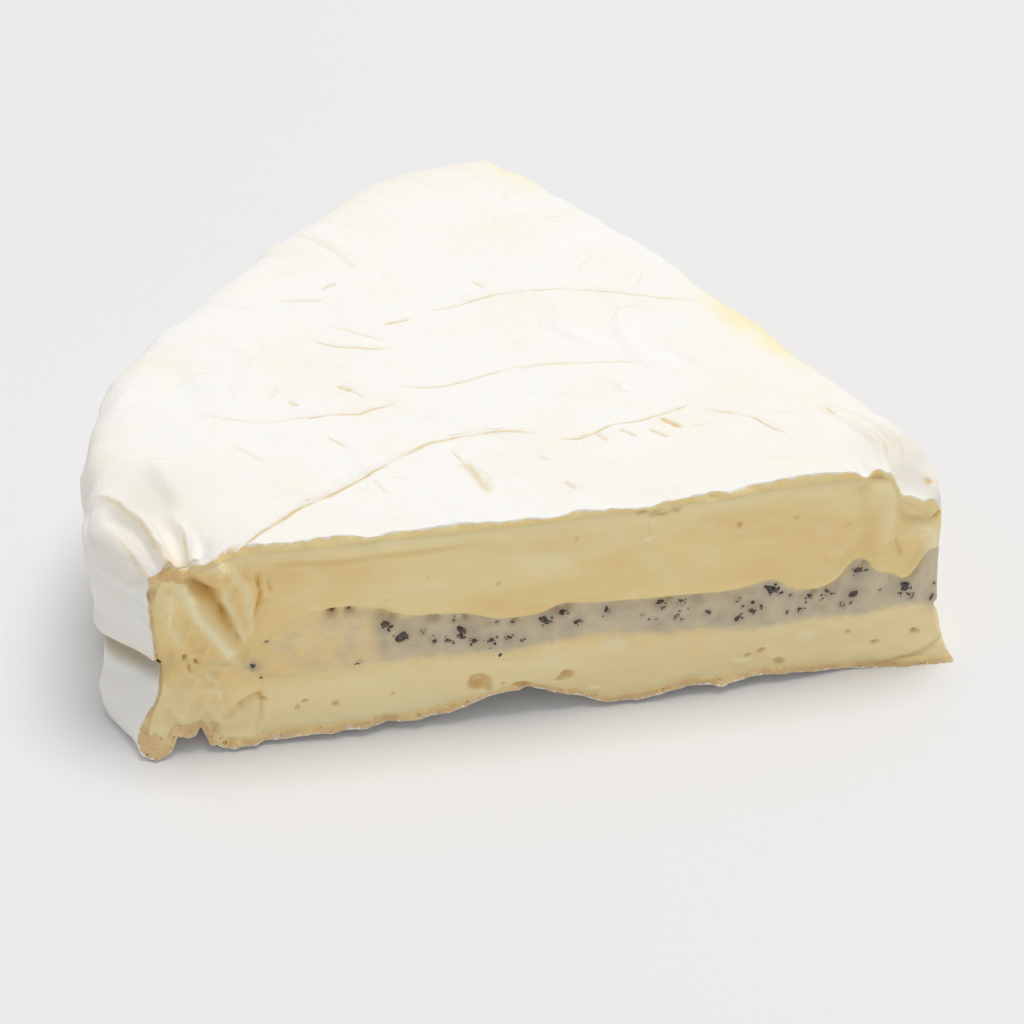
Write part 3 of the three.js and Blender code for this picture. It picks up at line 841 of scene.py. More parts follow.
def rind_thickness(p, from_front, from_back):
    """The rind is of uneven, ragged thickness where it is cut at the rim."""
    z = p[..., 2]
    near = bell(np.minimum(from_front, from_back), 5)
    rim = smoothstep(np.hypot(p[..., 0], p[..., 1]), 111, 116)
    corner = np.interp(z, CORNER_HEIGHTS, CORNER_THICKNESSES)
    corner = corner * (1 + 0.25 * noise(p, 1.6, 123, 2) + 0.2 * noise(p, 4, 125, 1))
    thick = 1.5 + 0.16 * noise(p, 3.0, 121, 2)
    return mix(thick, corner, near * rim)


EASED_FROM, EASED_OVER = 0.6, 0.4  # mm
CARVE_REACH = 1.5  # mm from a cut within which the rind follows the cut's relief


def eased_hollows(swell):
    """Hollows end at a depth of 1 mm, so that the paste never shows through the rind."""
    deeper = np.maximum(-swell - EASED_FROM, 0)
    return np.maximum(swell, -EASED_FROM) - EASED_OVER * np.tanh(deeper / EASED_OVER)


def rind_point(skin, a, b, c, upper):
    """A point of the rind: a along the skin, b from the front to the back cut, c from the
    inside to the outside, with its distances from the cuts and its depth in mm."""
    angle = b * CUT_ANGLE
    radius, z = skin.at(a, 0)
    bulge = 1 - 0.4 * np.sin(np.pi * b) * (1 - smoothstep(radius, 1, 6))
    surface = slump(polar(radius * bulge, angle, z))
    across = np.hypot(surface[..., 0], surface[..., 1])
    from_front = across * np.sin(angle)
    from_back = across * np.sin(CUT_ANGLE - angle)
    skin_mm = a * skin.length
    rim_share = smoothstep(across, RIM_START, 126)
    if upper:
        x, y, z = np.moveaxis(surface, -1, 0)
        swell = top_swell(surface, skin_mm, from_front, from_back)
        swell = mix(swell, rim_swell(surface), rim_share)
        swell = swell + pleats_at(x, y) * smoothstep(z, 24, 29)
        swell = swell + 0.35 * bell(z - seam_height(angle) - 0.6, 1.6) * rim_share
    else:
        swell = mix(0.0, rim_swell(surface), rim_share)
        swell = swell - corner_tuck(surface, angle) * rim_share
    swell = eased_hollows(swell) * smoothstep(across, 1, 5)
    thick = rind_thickness(surface, from_front, from_back)
    depth = thick * (1 - c) - swell * c
    radius, z = skin.at(a, depth)
    p = slump(polar(radius * bulge, angle, z))
    tip = smoothstep(-across, -7, -1)
    front_share = mix(bell(from_front, CARVE_REACH), 1 - b, tip)
    back_share = mix(bell(from_back, CARVE_REACH), b, tip)
    p = carve(p, front_share, back_share)
    ragged = 0.4 * noise2(p[..., 0], p[..., 2], 2.6, 127, 3) * bell(from_front, 1.2) * (1 - tip)
    p = p + (ragged * c)[..., None] * FRONT_OUT
    return p, from_front, from_back, thick * (1 - c), skin_mm, across


def second_fold(angle):
    return mix(2.0, 11.0, bell(angle, 0.085))


def corner_tuck(p, angle):
    """Under the fold in the rim the lower rind is tucked in, from a second fold upwards."""
    seam, fold = seam_height(angle), second_fold(angle)
    t = np.clip((p[..., 2] - fold) / (seam - fold), 0, 1)
    strength = 0.6 + 0.9 * bell(angle - 0.05, 0.1)
    return strength * (0.6 * smoothstep(t, 0, 0.4) + 0.7 * t * t)


def rind_attributes(p, from_front, from_back, depth, skin_mm, across, upper):
    x, y, z = p[..., 0], p[..., 1], p[..., 2]
    none = np.zeros(x.shape)
    best, signed, strength, width = none + CREASE_REACH, none + CREASE_REACH, none, none + 0.3
    marks = pinch = hollow_shade = yellow = none
    angle = np.arctan2(y, -x)
    under_seam = seam_height(angle) - z
    if upper:
        # an older, yellower skin at the seam, with a line of painted shade in its fold
        seam = 0.45 * bell(under_seam, 0.9)
        on_top = smoothstep(z, 23, 27) * (depth < 0.02)
        best, signed, strength, width = creases_at(x, y)
        strength = strength * on_top
        marks = marks_at(x, y) * on_top
        pinch = bell(np.hypot(skin_mm - PINCH[0], from_front - PINCH[1]), 5) * on_top
        # painted shade in two hollows of the top: by the pinched corner and near the tip
        hollow_shade = bell(np.hypot((x + 119.5) / 0.8, y - 18), 8.5) + bell(np.hypot(x + 6, y - 7), 6)
        yellow = 1.2 * bell(across - 51, 14) * bell(from_back, 2.2)
        yellow = yellow + bell(across - 122, 9) * bell(from_back, 3.0)
    else:
        # painted shade under the overhang of the upper rind, strongest near the front corner
        seam = (1 - smoothstep(under_seam, 1, 7)) * mix(0.5, 1.0, bell(angle, 0.25))
    seam = seam * smoothstep(across, RIM_START, 124)
    return {
        "depth_mm": depth,
        "crease_side": signed / width,
        "crease_far": best / width,
        "crease_tone": strength,
        "marks": marks,
        "shade_and_age": np.clip(0.8 * pinch + seam, 0, 1),
        "hollow_shade": np.clip(hollow_shade, 0, 1),
        "yellow": np.clip(yellow + 0.35 * noise2(x, y, 6, 133, 2) * yellow, 0, 1),
        "rim": smoothstep(across, 109, 115),
    }


RIND_LAYERS = 5


def make_rind(name, skin, rows, columns, inner_columns, upper):
    box = Box(rows, columns, RIND_LAYERS)
    box.sides()
    box.full(RIND_LAYERS)
    box.sparse(0, columns // inner_columns)
    a, b, c, quads, triangles = box.points()
    p, from_front, from_back, depth, skin_mm, across = rind_point(skin, a, b, c, upper)
    attributes = rind_attributes(p, from_front, from_back, depth, skin_mm, across, upper)
    attributes["inner"] = 1 - c
    return make_mesh(name, p, quads, triangles, attributes)


# ---------------------------------------------------------------- the layers inside the rind


def inner_profile(skin, b):
    """Radius and height of the rind's inner face on a cut, along the skin."""
    a = np.linspace(0, 1, 1400)
    angle = np.full(a.shape, b * CUT_ANGLE)
    radius, z = skin.at(a, 0)
    surface = slump(polar(radius, angle, z))
    across = np.hypot(surface[..., 0], surface[..., 1])
    beside = across * math.sin(CUT_ANGLE)
    from_front, from_back = (beside, 0 * beside) if b else (0 * beside, beside)
    thick = rind_thickness(surface, from_front, from_back)
    radius, z = skin.at(a, thick)
    inner = slump(polar(radius, angle, z))
    return np.hypot(inner[..., 0], inner[..., 1]), inner[..., 2]


def spans(b):
    """For one cut: how high the rind's inner face is over the table at each radius, above and
    below, and how far out it is at each height."""
    top_r, top_z = inner_profile(TOP_SKIN, b)
    foot_r, foot_z = inner_profile(FOOT_SKIN, b)
    widest, foot_widest = int(np.argmax(top_r)), int(np.argmax(foot_r))
    side_z = np.concatenate([foot_z[foot_widest:], top_z[widest:][::-1]])
    side_r = np.concatenate([foot_r[foot_widest:], top_r[widest:][::-1]])
    order = np.argsort(side_z)
    return {
        "top": (np.maximum.accumulate(top_r[: widest + 1]), top_z[: widest + 1]),
        "foot": (np.maximum.accumulate(foot_r[: foot_widest + 1]), foot_z[: foot_widest + 1]),
        "side": (side_z[order], side_r[order]),
        "top_end": top_r[widest],
        "foot_end": foot_r[foot_widest],
    }


SPANS = [spans(0), spans(1)]


def layer_height(which, span, r, p):
    """Height of one face of a layer at radius r on the way to the rim."""
    if which in span:
        return np.interp(r, *span[which])
    return cream_level(CREAM_TOP if which == "cream_top" else CREAM_BOTTOM, p)


def layer_point(a, b, c, low, high):
    """A point of a layer: a from the tip to the rim, b from the front to the back cut, c from
    its lower face, low, to its upper face, high."""
    angle = b * CUT_ANGLE
    filling = low == "cream_bottom"
    eased = a if filling else 1 - (1 - a) ** 1.35
    p = 0.0
    for end, span in enumerate(SPANS):
        reach = CREAM_RADIUS + 1.5 if filling else span["top_end" if high == "top" else "foot_end"]
        r = mix(TIP_WIDTH * 0.9, reach, eased)
        plan = polar(r, angle, 0.0)
        z = mix(layer_height(low, span, r, plan), layer_height(high, span, r, plan), c)
        side = np.interp(z, *span["side"])
        r = np.minimum(r, mix(r, side, smoothstep(r, 100, reach)))
        share = 1 - b if end == 0 else b
        bulge = 1 - 0.4 * np.sin(np.pi * b) * (1 - smoothstep(r, 1, 6))
        p = p + polar(r * bulge, angle, z) * share[..., None]
    across = np.hypot(p[..., 0], p[..., 1])
    tip = smoothstep(-across, -7, -1)
    return carve(p, mix((1 - b) ** 4, 1 - b, tip), mix(b**4, b, tip), paste=True)


def cut_attributes(p, b):
    """Tones of the paste and the cream that follow the cut's features, with painted shade in the
    eyes, pits and grooves and painted highlights on the ridges and smears.
    """
    r_front, r_back = along_cuts(p)
    z = p[..., 2]
    front = b < 0.5
    r = np.where(front, r_front, r_back)
    edge_r = np.where(front, r, turned_round(r))
    top, bottom = cream_edge(CREAM_TOP, edge_r), cream_edge(CREAM_BOTTOM, edge_r)
    fade = 1 - smoothstep(edge_r, 72, 101)
    smeared = np.clip(bell(edge_r - 23, 6) + bell(edge_r - 10.5, 3.4), 0, 1)
    blur = np.maximum(mix(1.8, 0.4, fade), 1.7 * smeared)
    inside = smoothstep(z, bottom - 2.4, bottom + 1.5)
    inside = inside * (1 - smoothstep(z, top - blur, top + blur * 0.9))
    hidden_share = 0.32 + 0.68 * fade
    eyes = np.where(front, eyes_at(r_front, z, EYES["front"])[1], eyes_at(r_back, z, EYES["back"])[1])
    # painted shade in the eyes
    ochre_and_shade = 0.36 * eyes
    # painted shade, with a browner tone, in the pits under the lip
    for pit in lip_pits_at(r_front, z, 1.4, 1.0):
        ochre_and_shade = np.maximum(ochre_and_shade, 0.9 * pit * front)
    pale_and_highlight = 0.3 * (1 - smoothstep(z, 9, 13))
    pale_and_highlight = np.maximum(pale_and_highlight, np.clip(squeezed_out(r_back, z) * 0.4, 0, 0.9) * ~front)
    # painted highlights on the raised smears, which are paler paste too
    pale_and_highlight = np.maximum(pale_and_highlight, np.clip(smears_at(r_front, z) * 1.6, 0, 0.8) * front)
    # painted shade in the folds' grooves, some of it the paste's own ochre, and painted highlights on
    # their ridges
    for line, height, width in FRONT_FOLDS:
        distance, _, _ = line_distance(r_front, z, line)
        share = bell(distance, width * 1.15) * front
        if height < 0:
            ochre_and_shade = np.maximum(ochre_and_shade, np.clip(-height * 0.24, 0.15, 0.55) * share)
        else:
            pale_and_highlight = np.maximum(pale_and_highlight, np.clip(height * 0.6, 0.3, 0.9) * share)
    line_z = 30.7 + 0.7 * noise2(r, 0.0, 12, 131, 2)
    line = bell(z - line_z, 0.5) * smoothstep(r, 66, 80) * (1 - smoothstep(r, 100, 106))
    return {
        "cream": inside * hidden_share,
        "ochre_and_shade": np.clip(ochre_and_shade + 0.45 * line, 0, 1),
        "pale_and_highlight": pale_and_highlight,
        "band": smoothstep(z, 29.5, 32.8),
        "foot": 1 - smoothstep(z, 1.2, 4.0),
    }


LAYER_COLUMNS = 12


def make_layer(name, rows, layers, low, high):
    box = Box(rows, LAYER_COLUMNS, layers)
    box.sides()
    box.full(0)
    box.full(layers)
    a, b, c, quads, triangles = box.points()
    p = layer_point(a, b, c, low, high)
    return make_mesh(name, p, quads, triangles, cut_attributes(p, b))


# ---------------------------------------------------------------- truffle


def unit_ball():
    ball = bmesh.new()
    bmesh.ops.create_icosphere(ball, subdivisions=3, radius=1)
    points = np.array([v.co for v in ball.verts])
    faces = np.array([[v.index for v in f.verts] for f in ball.faces])
    ball.free()
    return points, faces


UNIT_BALL = unit_ball()
FLATNESS = 0.45  # of a crumb, across the cut
SUNK = 0.18  # share of its size by which a crumb's middle lies under the cut


def crumb_points(centre, size, random, out):
    """A rough crumb with its middle at a point, pressed flat against the cut."""
    unit, faces = UNIT_BALL
    seed = int(random.integers(1, 10000))
    rough = 1 + 0.4 * noise(unit, 0.9, seed, 3)
    local = unit * rough[:, None]
    stretch = random.uniform(0.7, 1.7)
    turn = random.uniform(0, math.pi)
    sideways = np.cross(out, (0, 0, 1))
    c, s = math.cos(turn), math.sin(turn)
    u, v, w = local[:, 0] * stretch, local[:, 1] / math.sqrt(stretch), local[:, 2] * FLATNESS
    along, up = u * c - v * s, u * s + v * c
    offset = along[:, None] * sideways + up[:, None] * np.array([0, 0, 1.0]) + w[:, None] * out
    return centre + offset * size / 2, faces


def cut_place(side, r, z):
    """The point of a cut face at a distance from the tip and a height, and its outward way."""
    angle, out = (0.0, FRONT_OUT) if side == "front" else (CUT_ANGLE, BACK_OUT)
    relief = float(cut_relief(side, np.array([r]), np.array([z]))[0])
    flat = np.array([-r * math.cos(angle), r * math.sin(angle), z])
    return flat + relief * out, out


def crumb_piece(name, crumbs, random):
    """One mesh of crumbs: cut, distance from the tip, height, size, how brown, how blue."""
    points, faces, tones = [], [], []
    for side, r, z, size, brown, blue in crumbs:
        surface, out = cut_place(side, r, z)
        p, f = crumb_points(surface - out * size * SUNK, size, random, out)
        faces.append(f + sum(len(q) for q in points))
        points.append(tip_foot(p))
        tones.append(np.tile((brown, blue), (len(p), 1)))
    mesh = bpy.data.meshes.new(name)
    mesh.from_pydata(place_in_frame(np.vstack(points)).tolist(), [], np.vstack(faces).tolist())
    mesh.shade_smooth()
    for key, values in zip(("brown", "blue"), np.vstack(tones).T):
        add_values(mesh, key, values)
    return add_object(name, mesh)


def random_tone(random):
    """How brown and how blue a crumb is."""
    share = random.random()
    return (float(share < 0.2), 0.9 * float(share > 0.9))


def crumb_cluster(side, r, z, size, random):
    """A crumb and the smaller ones that broke off it."""
    r = max(r, 1.6)
    crumbs = [(side, r, z, size, 0.5 * random.random(), 0.2 * random.random())]
    for _ in range(int(random.integers(3, 6))):
        turn, away = random.uniform(0, 2 * math.pi), size * random.uniform(0.35, 0.8)
        small = size * random.uniform(0.2, 0.5)
        place = (r + away * math.cos(turn), z + away * math.sin(turn) * 0.8)
        crumbs.append((side, *place, small, *random_tone(random)))
    return crumbs


def node_crumb(node):
    """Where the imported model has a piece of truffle, in the design frame."""
    low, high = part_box(node)
    centre = (np.array((low + high) / 2) - np.array(TIP)) / MM
    size = (high - low).z / MM
    side = "front" if "front" in node else "back"
    r_front, r_back = along_cuts(centre)
    return side, float(r_front if side == "front" else r_back), float(centre[2]), size


# ---------------------------------------------------------------- materials


class Nodes:
    """Shorthand for building a material's node tree."""

    def __init__(self, name):
        self.material = bpy.data.materials.new(name)
        self.material.use_nodes = True
        self.tree = self.material.node_tree
        self.shader = self.tree.nodes["Principled BSDF"]
        self.place = self.add("ShaderNodeTexCoord").outputs["Object"]

    def add(self, kind, **values):
        node = self.tree.nodes.new(kind)
        for key, value in values.items():
            setattr(node, key, value)
        return node

    def link(self, value, socket):
        if isinstance(value, bpy.types.NodeSocket):
            self.tree.links.new(value, socket)
        else:
            socket.default_value = value

    def attribute(self, name):
        return self.add("ShaderNodeAttribute", attribute_name=name).outputs["Fac"]

    def math(self, operation, a, b=0.0, clamp=False):
        node = self.add("ShaderNodeMath", operation=operation, use_clamp=clamp)
        self.link(a, node.inputs[0])
        self.link(b, node.inputs[1])
        return node.outputs[0]

    def ramp(self, value, low, high, to_low=0.0, to_high=1.0):
        node = self.add("ShaderNodeMapRange", interpolation_type="SMOOTHSTEP")
        for socket, v in zip(node.inputs, (value, low, high, to_low, to_high)):
            self.link(v, socket)
        return node.outputs[0]

    def mix(self, share, a, b):
        node = self.add("ShaderNodeMix", data_type="RGBA")
        self.link(share, node.inputs[0])
        self.link(a, node.inputs[6])
        self.link(b, node.inputs[7])
        return node.outputs[2]

    def tint(self, colour, other, attribute, strength=1.0):
        """A colour turned into another as far as an attribute says."""
        share = self.attribute(attribute)
        if strength != 1:
            share = self.math("MULTIPLY", share, strength)
        return self.mix(share, colour, srgb(*other))

    def blotches(self, colour, other, size_mm, detail, low, high, most=1.0, **texture):
        """A colour with blotches of another where a noise is above low."""
        share = self.ramp(self.noise(size_mm, detail, **texture), low, high, 0.0, most)
        return self.mix(share, colour, srgb(*other))

    def noise(self, size_mm, detail=3.0, stretch=(1, 1, 1), rough=0.55):
        mapping = self.add("ShaderNodeMapping")
        mapping.inputs["Scale"].default_value = stretch
        self.link(self.place, mapping.inputs["Vector"])
        node = self.add("ShaderNodeTexNoise")
        self.link(mapping.outputs[0], node.inputs["Vector"])
        node.inputs["Scale"].default_value = 1 / (size_mm * MM)
        node.inputs["Detail"].default_value = detail
        node.inputs["Roughness"].default_value = rough
        return node.outputs["Fac"]

    def bump(self, height, distance_mm, strength=1.0, below=None):
        node = self.add("ShaderNodeBump")
        node.inputs["Strength"].default_value = strength
        node.inputs["Distance"].default_value = distance_mm * MM
        self.link(height, node.inputs["Height"])
        if below is not None:
            self.link(below, node.inputs["Normal"])
        return node.outputs[0]

    def finish(self, colour, roughness, normal, subsurface, radius_mm, specular=0.5):
        shader = self.shader
        self.link(colour, shader.inputs["Base Color"])
        self.link(roughness, shader.inputs["Roughness"])
        if normal is not None:
            self.link(normal, shader.inputs["Normal"])
        shader.inputs["Subsurface Weight"].default_value = subsurface
        shader.inputs["Subsurface Radius"].default_value = radius_mm
        shader.inputs["Subsurface Scale"].default_value = MM
        shader.inputs["Specular IOR Level"].default_value = specular
        return self.material


def srgb(red, green, blue):
    """A colour given as the eye sees it, 0 to 255, as the shader wants it."""
    values = [c / 255 for c in (red, green, blue)]
    return [c / 12.92 if c < 0.04045 else ((c + 0.055) / 1.055) ** 2.4 for c in values] + [1.0]


def rind_white(n, lower):
    """The white mould, with its creases, its marks, painted shade in the top's hollows and at the
    seam, and an older, yellower skin at the pinched corner.
    """
    white = n.blotches(srgb(253, 250, 244), (252, 246, 234), 14, 4, 0.45, 0.72)
    white = n.blotches(white, (251, 243, 228), 45, 2, 0.5, 0.75, 0.6)
    white = n.blotches(white, (248, 243, 230), 2.4, 3, 0.6, 0.75, 0.4)
    # painted shade in the hollows of the top
    white = n.tint(white, (234, 228, 213), "hollow_shade", 0.75)
    # painted shade: the lower rind darkens under the overhang at the seam; the upper rind is yellower
    # at the pinched corner and shaded in the fold at the seam
    shade_and_age_tone = srgb(166, 152, 122) if lower else srgb(242, 220, 168)
    white = n.mix(n.ramp(n.attribute("shade_and_age"), 0.1, 0.95, 0, 0.85), white, shade_and_age_tone)
    white = n.tint(white, (255, 243, 205), "yellow")
    marks = n.math("MULTIPLY", n.attribute("marks"), n.ramp(n.noise(1.2, 3), 0.2, 0.6, 0.5, 1.0))
    white = n.mix(marks, white, srgb(224, 192, 122))
    # a crease's line is where the signed distance passes zero and the unsigned one is small
    side = n.math("ABSOLUTE", n.attribute("crease_side"))
    far = n.math("SUBTRACT", n.attribute("crease_far"), 2.6)
    line = n.math("MAXIMUM", side, far)
    broken = n.ramp(n.noise(5, 3), 0.3, 0.55, 0.35, 1.0)
    tone = n.math("MULTIPLY", n.attribute("crease_tone"), broken)
    crease = n.math("MULTIPLY", n.ramp(line, 0.35, 1.5, 1.0, 0.0), tone, clamp=True)
    halo = n.math("MULTIPLY", n.ramp(n.attribute("crease_far"), 0.5, 6.0, 0.3, 0.0), tone)
    white = n.mix(halo, white, srgb(246, 234, 204))
    white = n.mix(crease, white, srgb(226, 197, 124))
    cut_in = n.math("MULTIPLY", n.ramp(line, 0.2, 1.8, 1.0, 0.0), tone)
    return white, n.math("SUBTRACT", 1.0, cut_in)


def rind_material(name, lower=False):
    n = Nodes(name)
    white, relief = rind_white(n, lower)
    # the cut edge of the rind, from its white outside to its straw or tan inside
    depth = n.attribute("depth_mm")
    under = n.math("MULTIPLY", depth, 8.0, clamp=True)
    uneven = n.math("MULTIPLY", n.ramp(n.noise(0.9, 3), 0.3, 0.7, -0.25, 0.25), under)
    ragged = n.math("ADD", depth, uneven)
    inside = n.blotches(srgb(246, 220, 166), (231, 192, 134), 2.2, 4, 0.4, 0.62)
    inside = n.blotches(inside, (240, 214, 190), 1.5, 3, 0.62, 0.72)
    if lower:
        inside = n.blotches(inside, (224, 194, 144), 6, 3, 0.4, 0.6)
        inside = n.blotches(inside, (228, 218, 200), 2.6, 4, 0.62, 0.7, rough=0.7)
        inside = n.blotches(inside, (158, 122, 80), 0.8, 3, 0.6, 0.68, rough=0.7)
    else:
        straw = n.blotches(srgb(255, 233, 176), (255, 224, 158), 3.5, 3, 0.4, 0.62)
        inside = n.mix(n.attribute("rim"), straw, inside)
    paste_share = n.math("MULTIPLY", n.ramp(n.attribute("inner"), 0.45 if lower else 0.35, 1.0), 0.95)
    crisp = n.math("SUBTRACT", 1.0, n.math("MULTIPLY", n.attribute("rim"), 0.8))
    paste_share = n.math("MULTIPLY", paste_share, crisp)
    inside = n.mix(paste_share, inside, srgb(250, 224, 162))
    skin = (0.01, 0.1) if lower else (0.1, 0.38)
    colour = n.mix(n.ramp(ragged, *skin), white, inside)
    roughness = n.ramp(ragged, 0.1, 0.5, 0.85, 0.5)
    height = n.math("ADD", n.math("MULTIPLY", n.noise(1.1, 4, rough=0.65), 0.5), n.noise(0.45, 2))
    normal = n.bump(height, 0.12, 0.8)
    normal = n.bump(relief, 0.22, 0.8, normal)
    return n.finish(colour, roughness, normal, 0.2, (1.2, 0.9, 0.6), 0.25)


def paste_colour(n):
    """The paste's straw yellow, with painted highlights and painted shade, and cream where the
    filling shows through.
    """
    long, short = (0.35, 0.35, 1.0), (0.5, 0.5, 1.0)
    straw = srgb(253, 229, 168)
    straw = n.blotches(straw, (247, 216, 149), 11, 3, 0.35, 0.65, stretch=long)
    straw = n.blotches(straw, (251, 234, 186), 2.6, 3, 0.5, 0.75, 0.5, stretch=short)
    straw = n.tint(straw, (253, 236, 188), "band", 0.5)
    straw = n.tint(straw, (238, 204, 142), "foot", 0.5)
    # paler paste with painted highlights, then ochre with painted shade in eyes, pits and grooves
    straw = n.tint(straw, (255, 245, 208), "pale_and_highlight")
    straw = n.tint(straw, (222, 186, 108), "ochre_and_shade")
    fuzzy = n.math("ADD", n.attribute("cream"), n.ramp(n.noise(3, 4), 0.25, 0.75, -0.16, 0.16))
    cream = n.blotches(srgb(219, 205, 174), (209, 194, 164), 4, 3, 0.35, 0.65)
    return n.mix(n.ramp(fuzzy, 0.08, 0.9), straw, cream)


def paste_material(name):
    n = Nodes(name)
    colour = paste_colour(n)
    roughness = n.ramp(n.noise(6, 3), 0.35, 0.65, 0.28, 0.44)
    smear = n.noise(1.8, 3, (0.4, 0.4, 1.0))
    normal = n.bump(smear, 0.2, 0.7)
    normal = n.bump(n.noise(0.6, 2), 0.02, 0.5, normal)
    return n.finish(colour, roughness, normal, 0.25, (1.6, 1.0, 0.5), 0.5)


def cream_material(name):
    n = Nodes(name)
    dust = n.blotches(paste_colour(n), (176, 154, 130), 0.9, 4, 0.66, 0.72, rough=0.7)
    colour = n.tint(dust, (150, 134, 120), "stain")
    roughness = n.ramp(n.noise(3, 3), 0.35, 0.65, 0.34, 0.5)
    normal = n.bump(n.noise(1.3, 4), 0.1, 0.7)
    return n.finish(colour, roughness, normal, 0.2, (1.4, 1.0, 0.6), 0.5)


def truffle_material(name):
    n = Nodes(name)
    black = n.blotches(srgb(46, 39, 39), (104, 90, 84), 0.5, 3, 0.4, 0.6)
    brown = n.blotches(srgb(98, 70, 52), (138, 102, 74), 0.5, 3, 0.4, 0.6)
    colour = n.mix(n.attribute("brown"), black, brown)
    colour = n.tint(colour, (80, 88, 106), "blue")
    normal = n.bump(n.noise(0.35, 3), 0.1, 0.8)
    return n.finish(colour, 0.55, normal, 0.1, (0.6, 0.4, 0.3), 0.4)


def floor_material():
    n = Nodes("floor")
    colour = n.mix(n.noise(300, 2), srgb(236, 236, 237), srgb(240, 240, 241))
    return n.finish(colour, 0.6, None, 0.0, (1, 1, 1), 0.2)


# ---------------------------------------------------------------- stage and camera


FLOOR_SIZE = 6.0
WORLD_STRENGTH = 0.5
KEY_SIZE, KEY_POWER, KEY_PLACE = 1.0, 13.4, (0.25, 0.12, 1.55)  # m, W, m


def add_light(name, size_m, power, place):
    """A round, white lamp that faces the middle of the floor."""
    light = bpy.data.lights.new(name, "AREA")
    light.shape = "DISK"
    light.size = size_m
    light.energy = power
    lamp = add_object(name, light)
    lamp.location = place
    lamp.rotation_euler = (-Vector(place)).to_track_quat("-Z", "Y").to_euler()


def make_stage():
    bpy.ops.mesh.primitive_plane_add(size=FLOOR_SIZE, location=(0, 0, 0))
    floor = bpy.context.object
    floor.name = "floor"
    floor.data.materials.append(floor_material())
    floor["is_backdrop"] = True
    world = bpy.data.worlds.new("studio")
    bpy.context.scene.world = world
    world.use_nodes = True
    background = world.node_tree.nodes["Background"]
    background.inputs["Color"].default_value = (1.0, 1.0, 1.0, 1)
    background.inputs["Strength"].default_value = WORLD_STRENGTH
    add_light("key", KEY_SIZE, KEY_POWER, KEY_PLACE)
    bpy.context.scene.view_settings.view_transform = "Standard"


CAMERA_AZIMUTH = math.radians(-13.1)
CAMERA_ELEVATION = math.radians(30.4)
CAMERA_DISTANCE = 0.6516
CAMERA_FIELD = math.radians(14)
SENSOR_MM = 36
CAMERA_TARGET = Vector((-0.0607, 0.0294, 0.0173))  # from the tip


def make_camera():
    camera = bpy.data.cameras.new("camera")
    camera.sensor_width = SENSOR_MM
    camera.lens = SENSOR_MM / 2 / math.tan(CAMERA_FIELD / 2)
    holder = add_object("camera", camera)
    flat, up = math.cos(CAMERA_ELEVATION), math.sin(CAMERA_ELEVATION)
    back = Vector((math.sin(CAMERA_AZIMUTH) * flat, -math.cos(CAMERA_AZIMUTH) * flat, up))
    holder.location = TIP + CAMERA_TARGET + back * CAMERA_DISTANCE
    holder.rotation_euler = (-back).to_track_quat("-Z", "Y").to_euler()
    bpy.context.scene.camera = holder


# ---------------------------------------------------------------- the cheese


def make_cheese():
    rind = make_rind("rind_upper_skin", TOP_SKIN, 300, 290, inner_columns=10, upper=True)
    add_piece(rind, rind_material("white_rind"), "rind", "rind_upper")
    foot = make_rind("rind_lower_skin", FOOT_SKIN, 290, 200, inner_columns=40, upper=False)
    add_piece(foot, rind_material("foot_rind", lower=True), "rind", "rind_lower")

    paste = paste_material("paste")
    upper = make_layer("upper_disc", 420, 44, "cream_top", "top")
    add_piece(upper, paste, "paste", "paste_upper")
    lower = make_layer("lower_disc", 420, 38, "foot", "cream_bottom")
    add_piece(lower, paste, "paste", "paste_lower")

    random = np.random.default_rng(8)
    nodes = [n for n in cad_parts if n.startswith(("truffle_front", "truffle_back"))]
    clusters = {node: crumb_cluster(*node_crumb(node), random) for node in sorted(nodes)}
    small = small_crumbs(random)
    filling = make_layer("truffle_cream_layer", 440, 26, "cream_bottom", "cream_top")
    stain_cream(filling, [c for cluster in clusters.values() for c in cluster] + small, random)
    add_piece(filling, cream_material("cream"), "cream", "truffle_cream")

    truffle = truffle_material("truffle")
    for node, cluster in clusters.items():
        add_piece(crumb_piece("crumb_" + node[8:], cluster, random), truffle, "truffle", node)
    dust = crumb_piece("crumbs_small", small, random)
    dust.data.materials.append(truffle)
    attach(dust, "root")


def filling_spot(side, random):
    """A random place on the filling, more often near the tip than near the rim."""
    r = random.uniform(1.5, 92) if random.random() < 0.6 else random.uniform(1.5, 45)
    edge = r if side == "front" else turned_round(r)
    low, high = (float(cream_edge(curve, edge)) for curve in (CREAM_BOTTOM, CREAM_TOP))
    return r, random.uniform(low + 0.8, high - 0.5)


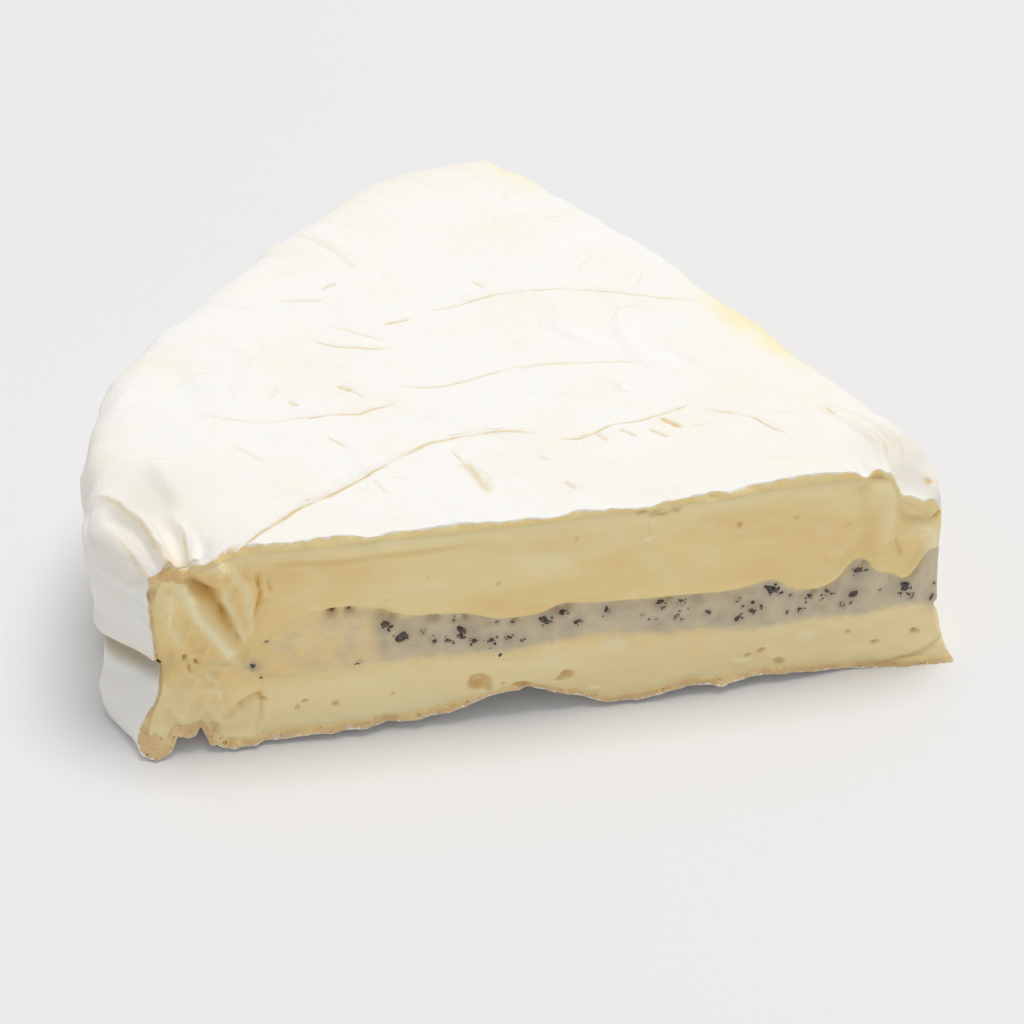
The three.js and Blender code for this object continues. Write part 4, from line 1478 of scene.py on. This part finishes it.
# Single small specks on the front cut: distance from the tip, height, size, brown, blue
FRONT_SPECKS = [
    (107, 13.8, 1.1, 0, 0.6), (106, 11.7, 0.7, 0, 0), (105, 18.2, 0.6, 0, 0), (91.2, 12.6, 0.7, 0, 0),
    (94.7, 22.4, 1, 1, 0), (92.2, 22, 0.8, 1, 0), (69.6, 11, 0.9, 0, 0.5), (44.6, 15.9, 0.5, 0, 0),
    (46.7, 14.4, 0.45, 1, 0), (45.6, 14.3, 0.6, 0, 1), (31.7, 14.3, 0.7, 1, 0),
    (24.3, 14.9, 0.7, 0, 1), (24.7, 12.2, 0.7, 0, 0.6), (19.2, 13.5, 0.6, 0, 0),
    (1.2, 13.6, 0.6, 0, 0), (1.4, 11.2, 0.9, 0, 0.3), (4.4, 5.5, 0.8, 1, 0),
]


SMALL_GROUPS = 16  # of crumbs on each cut
HIDDEN_CRUMBS = 45  # that only show through, on each cut


def small_crumbs(random):
    """Fine crumbs on both cuts."""
    crumbs = [("front", *speck) for speck in FRONT_SPECKS]
    for side in ("front", "back"):
        for _ in range(SMALL_GROUPS):
            r, z = filling_spot(side, random)
            for _ in range(int(random.integers(1, 5))):
                place = (max(r + random.normal(0, 0.9), 1.5), z + random.normal(0, 0.5))
                crumbs.append((side, *place, random.uniform(0.25, 0.6), *random_tone(random)))
    return crumbs


def stain_cream(piece, crumbs, random):
    """Darkens the cream round the crumbs, and over others that lie just under its surface."""
    co = np.zeros(len(piece.data.vertices) * 3, np.float32)
    piece.data.vertices.foreach_get("co", co)
    p = (co.reshape(-1, 3) - np.array(TIP)) / MM
    r_front, r_back = along_cuts(p)
    front = np.abs(p[:, 1]) < 8
    spots = [(*crumb[:4], 0.5) for crumb in crumbs]
    for side in ("front", "back"):
        for _ in range(HIDDEN_CRUMBS):
            size, strength = random.uniform(0.5, 1.6), random.uniform(0.1, 0.4)
            spots.append((side, *filling_spot(side, random), size, strength))
    stain = np.zeros(len(p))
    for side, r, z, size, strength in spots:
        here = front if side == "front" else ~front
        distance = np.hypot(np.where(front, r_front, r_back) - r, p[:, 2] - z)
        stain = np.maximum(stain, strength * bell(distance, size * 0.95) * here)
    add_values(piece.data, "stain", stain)


make_camera()
make_stage()
make_cheese()
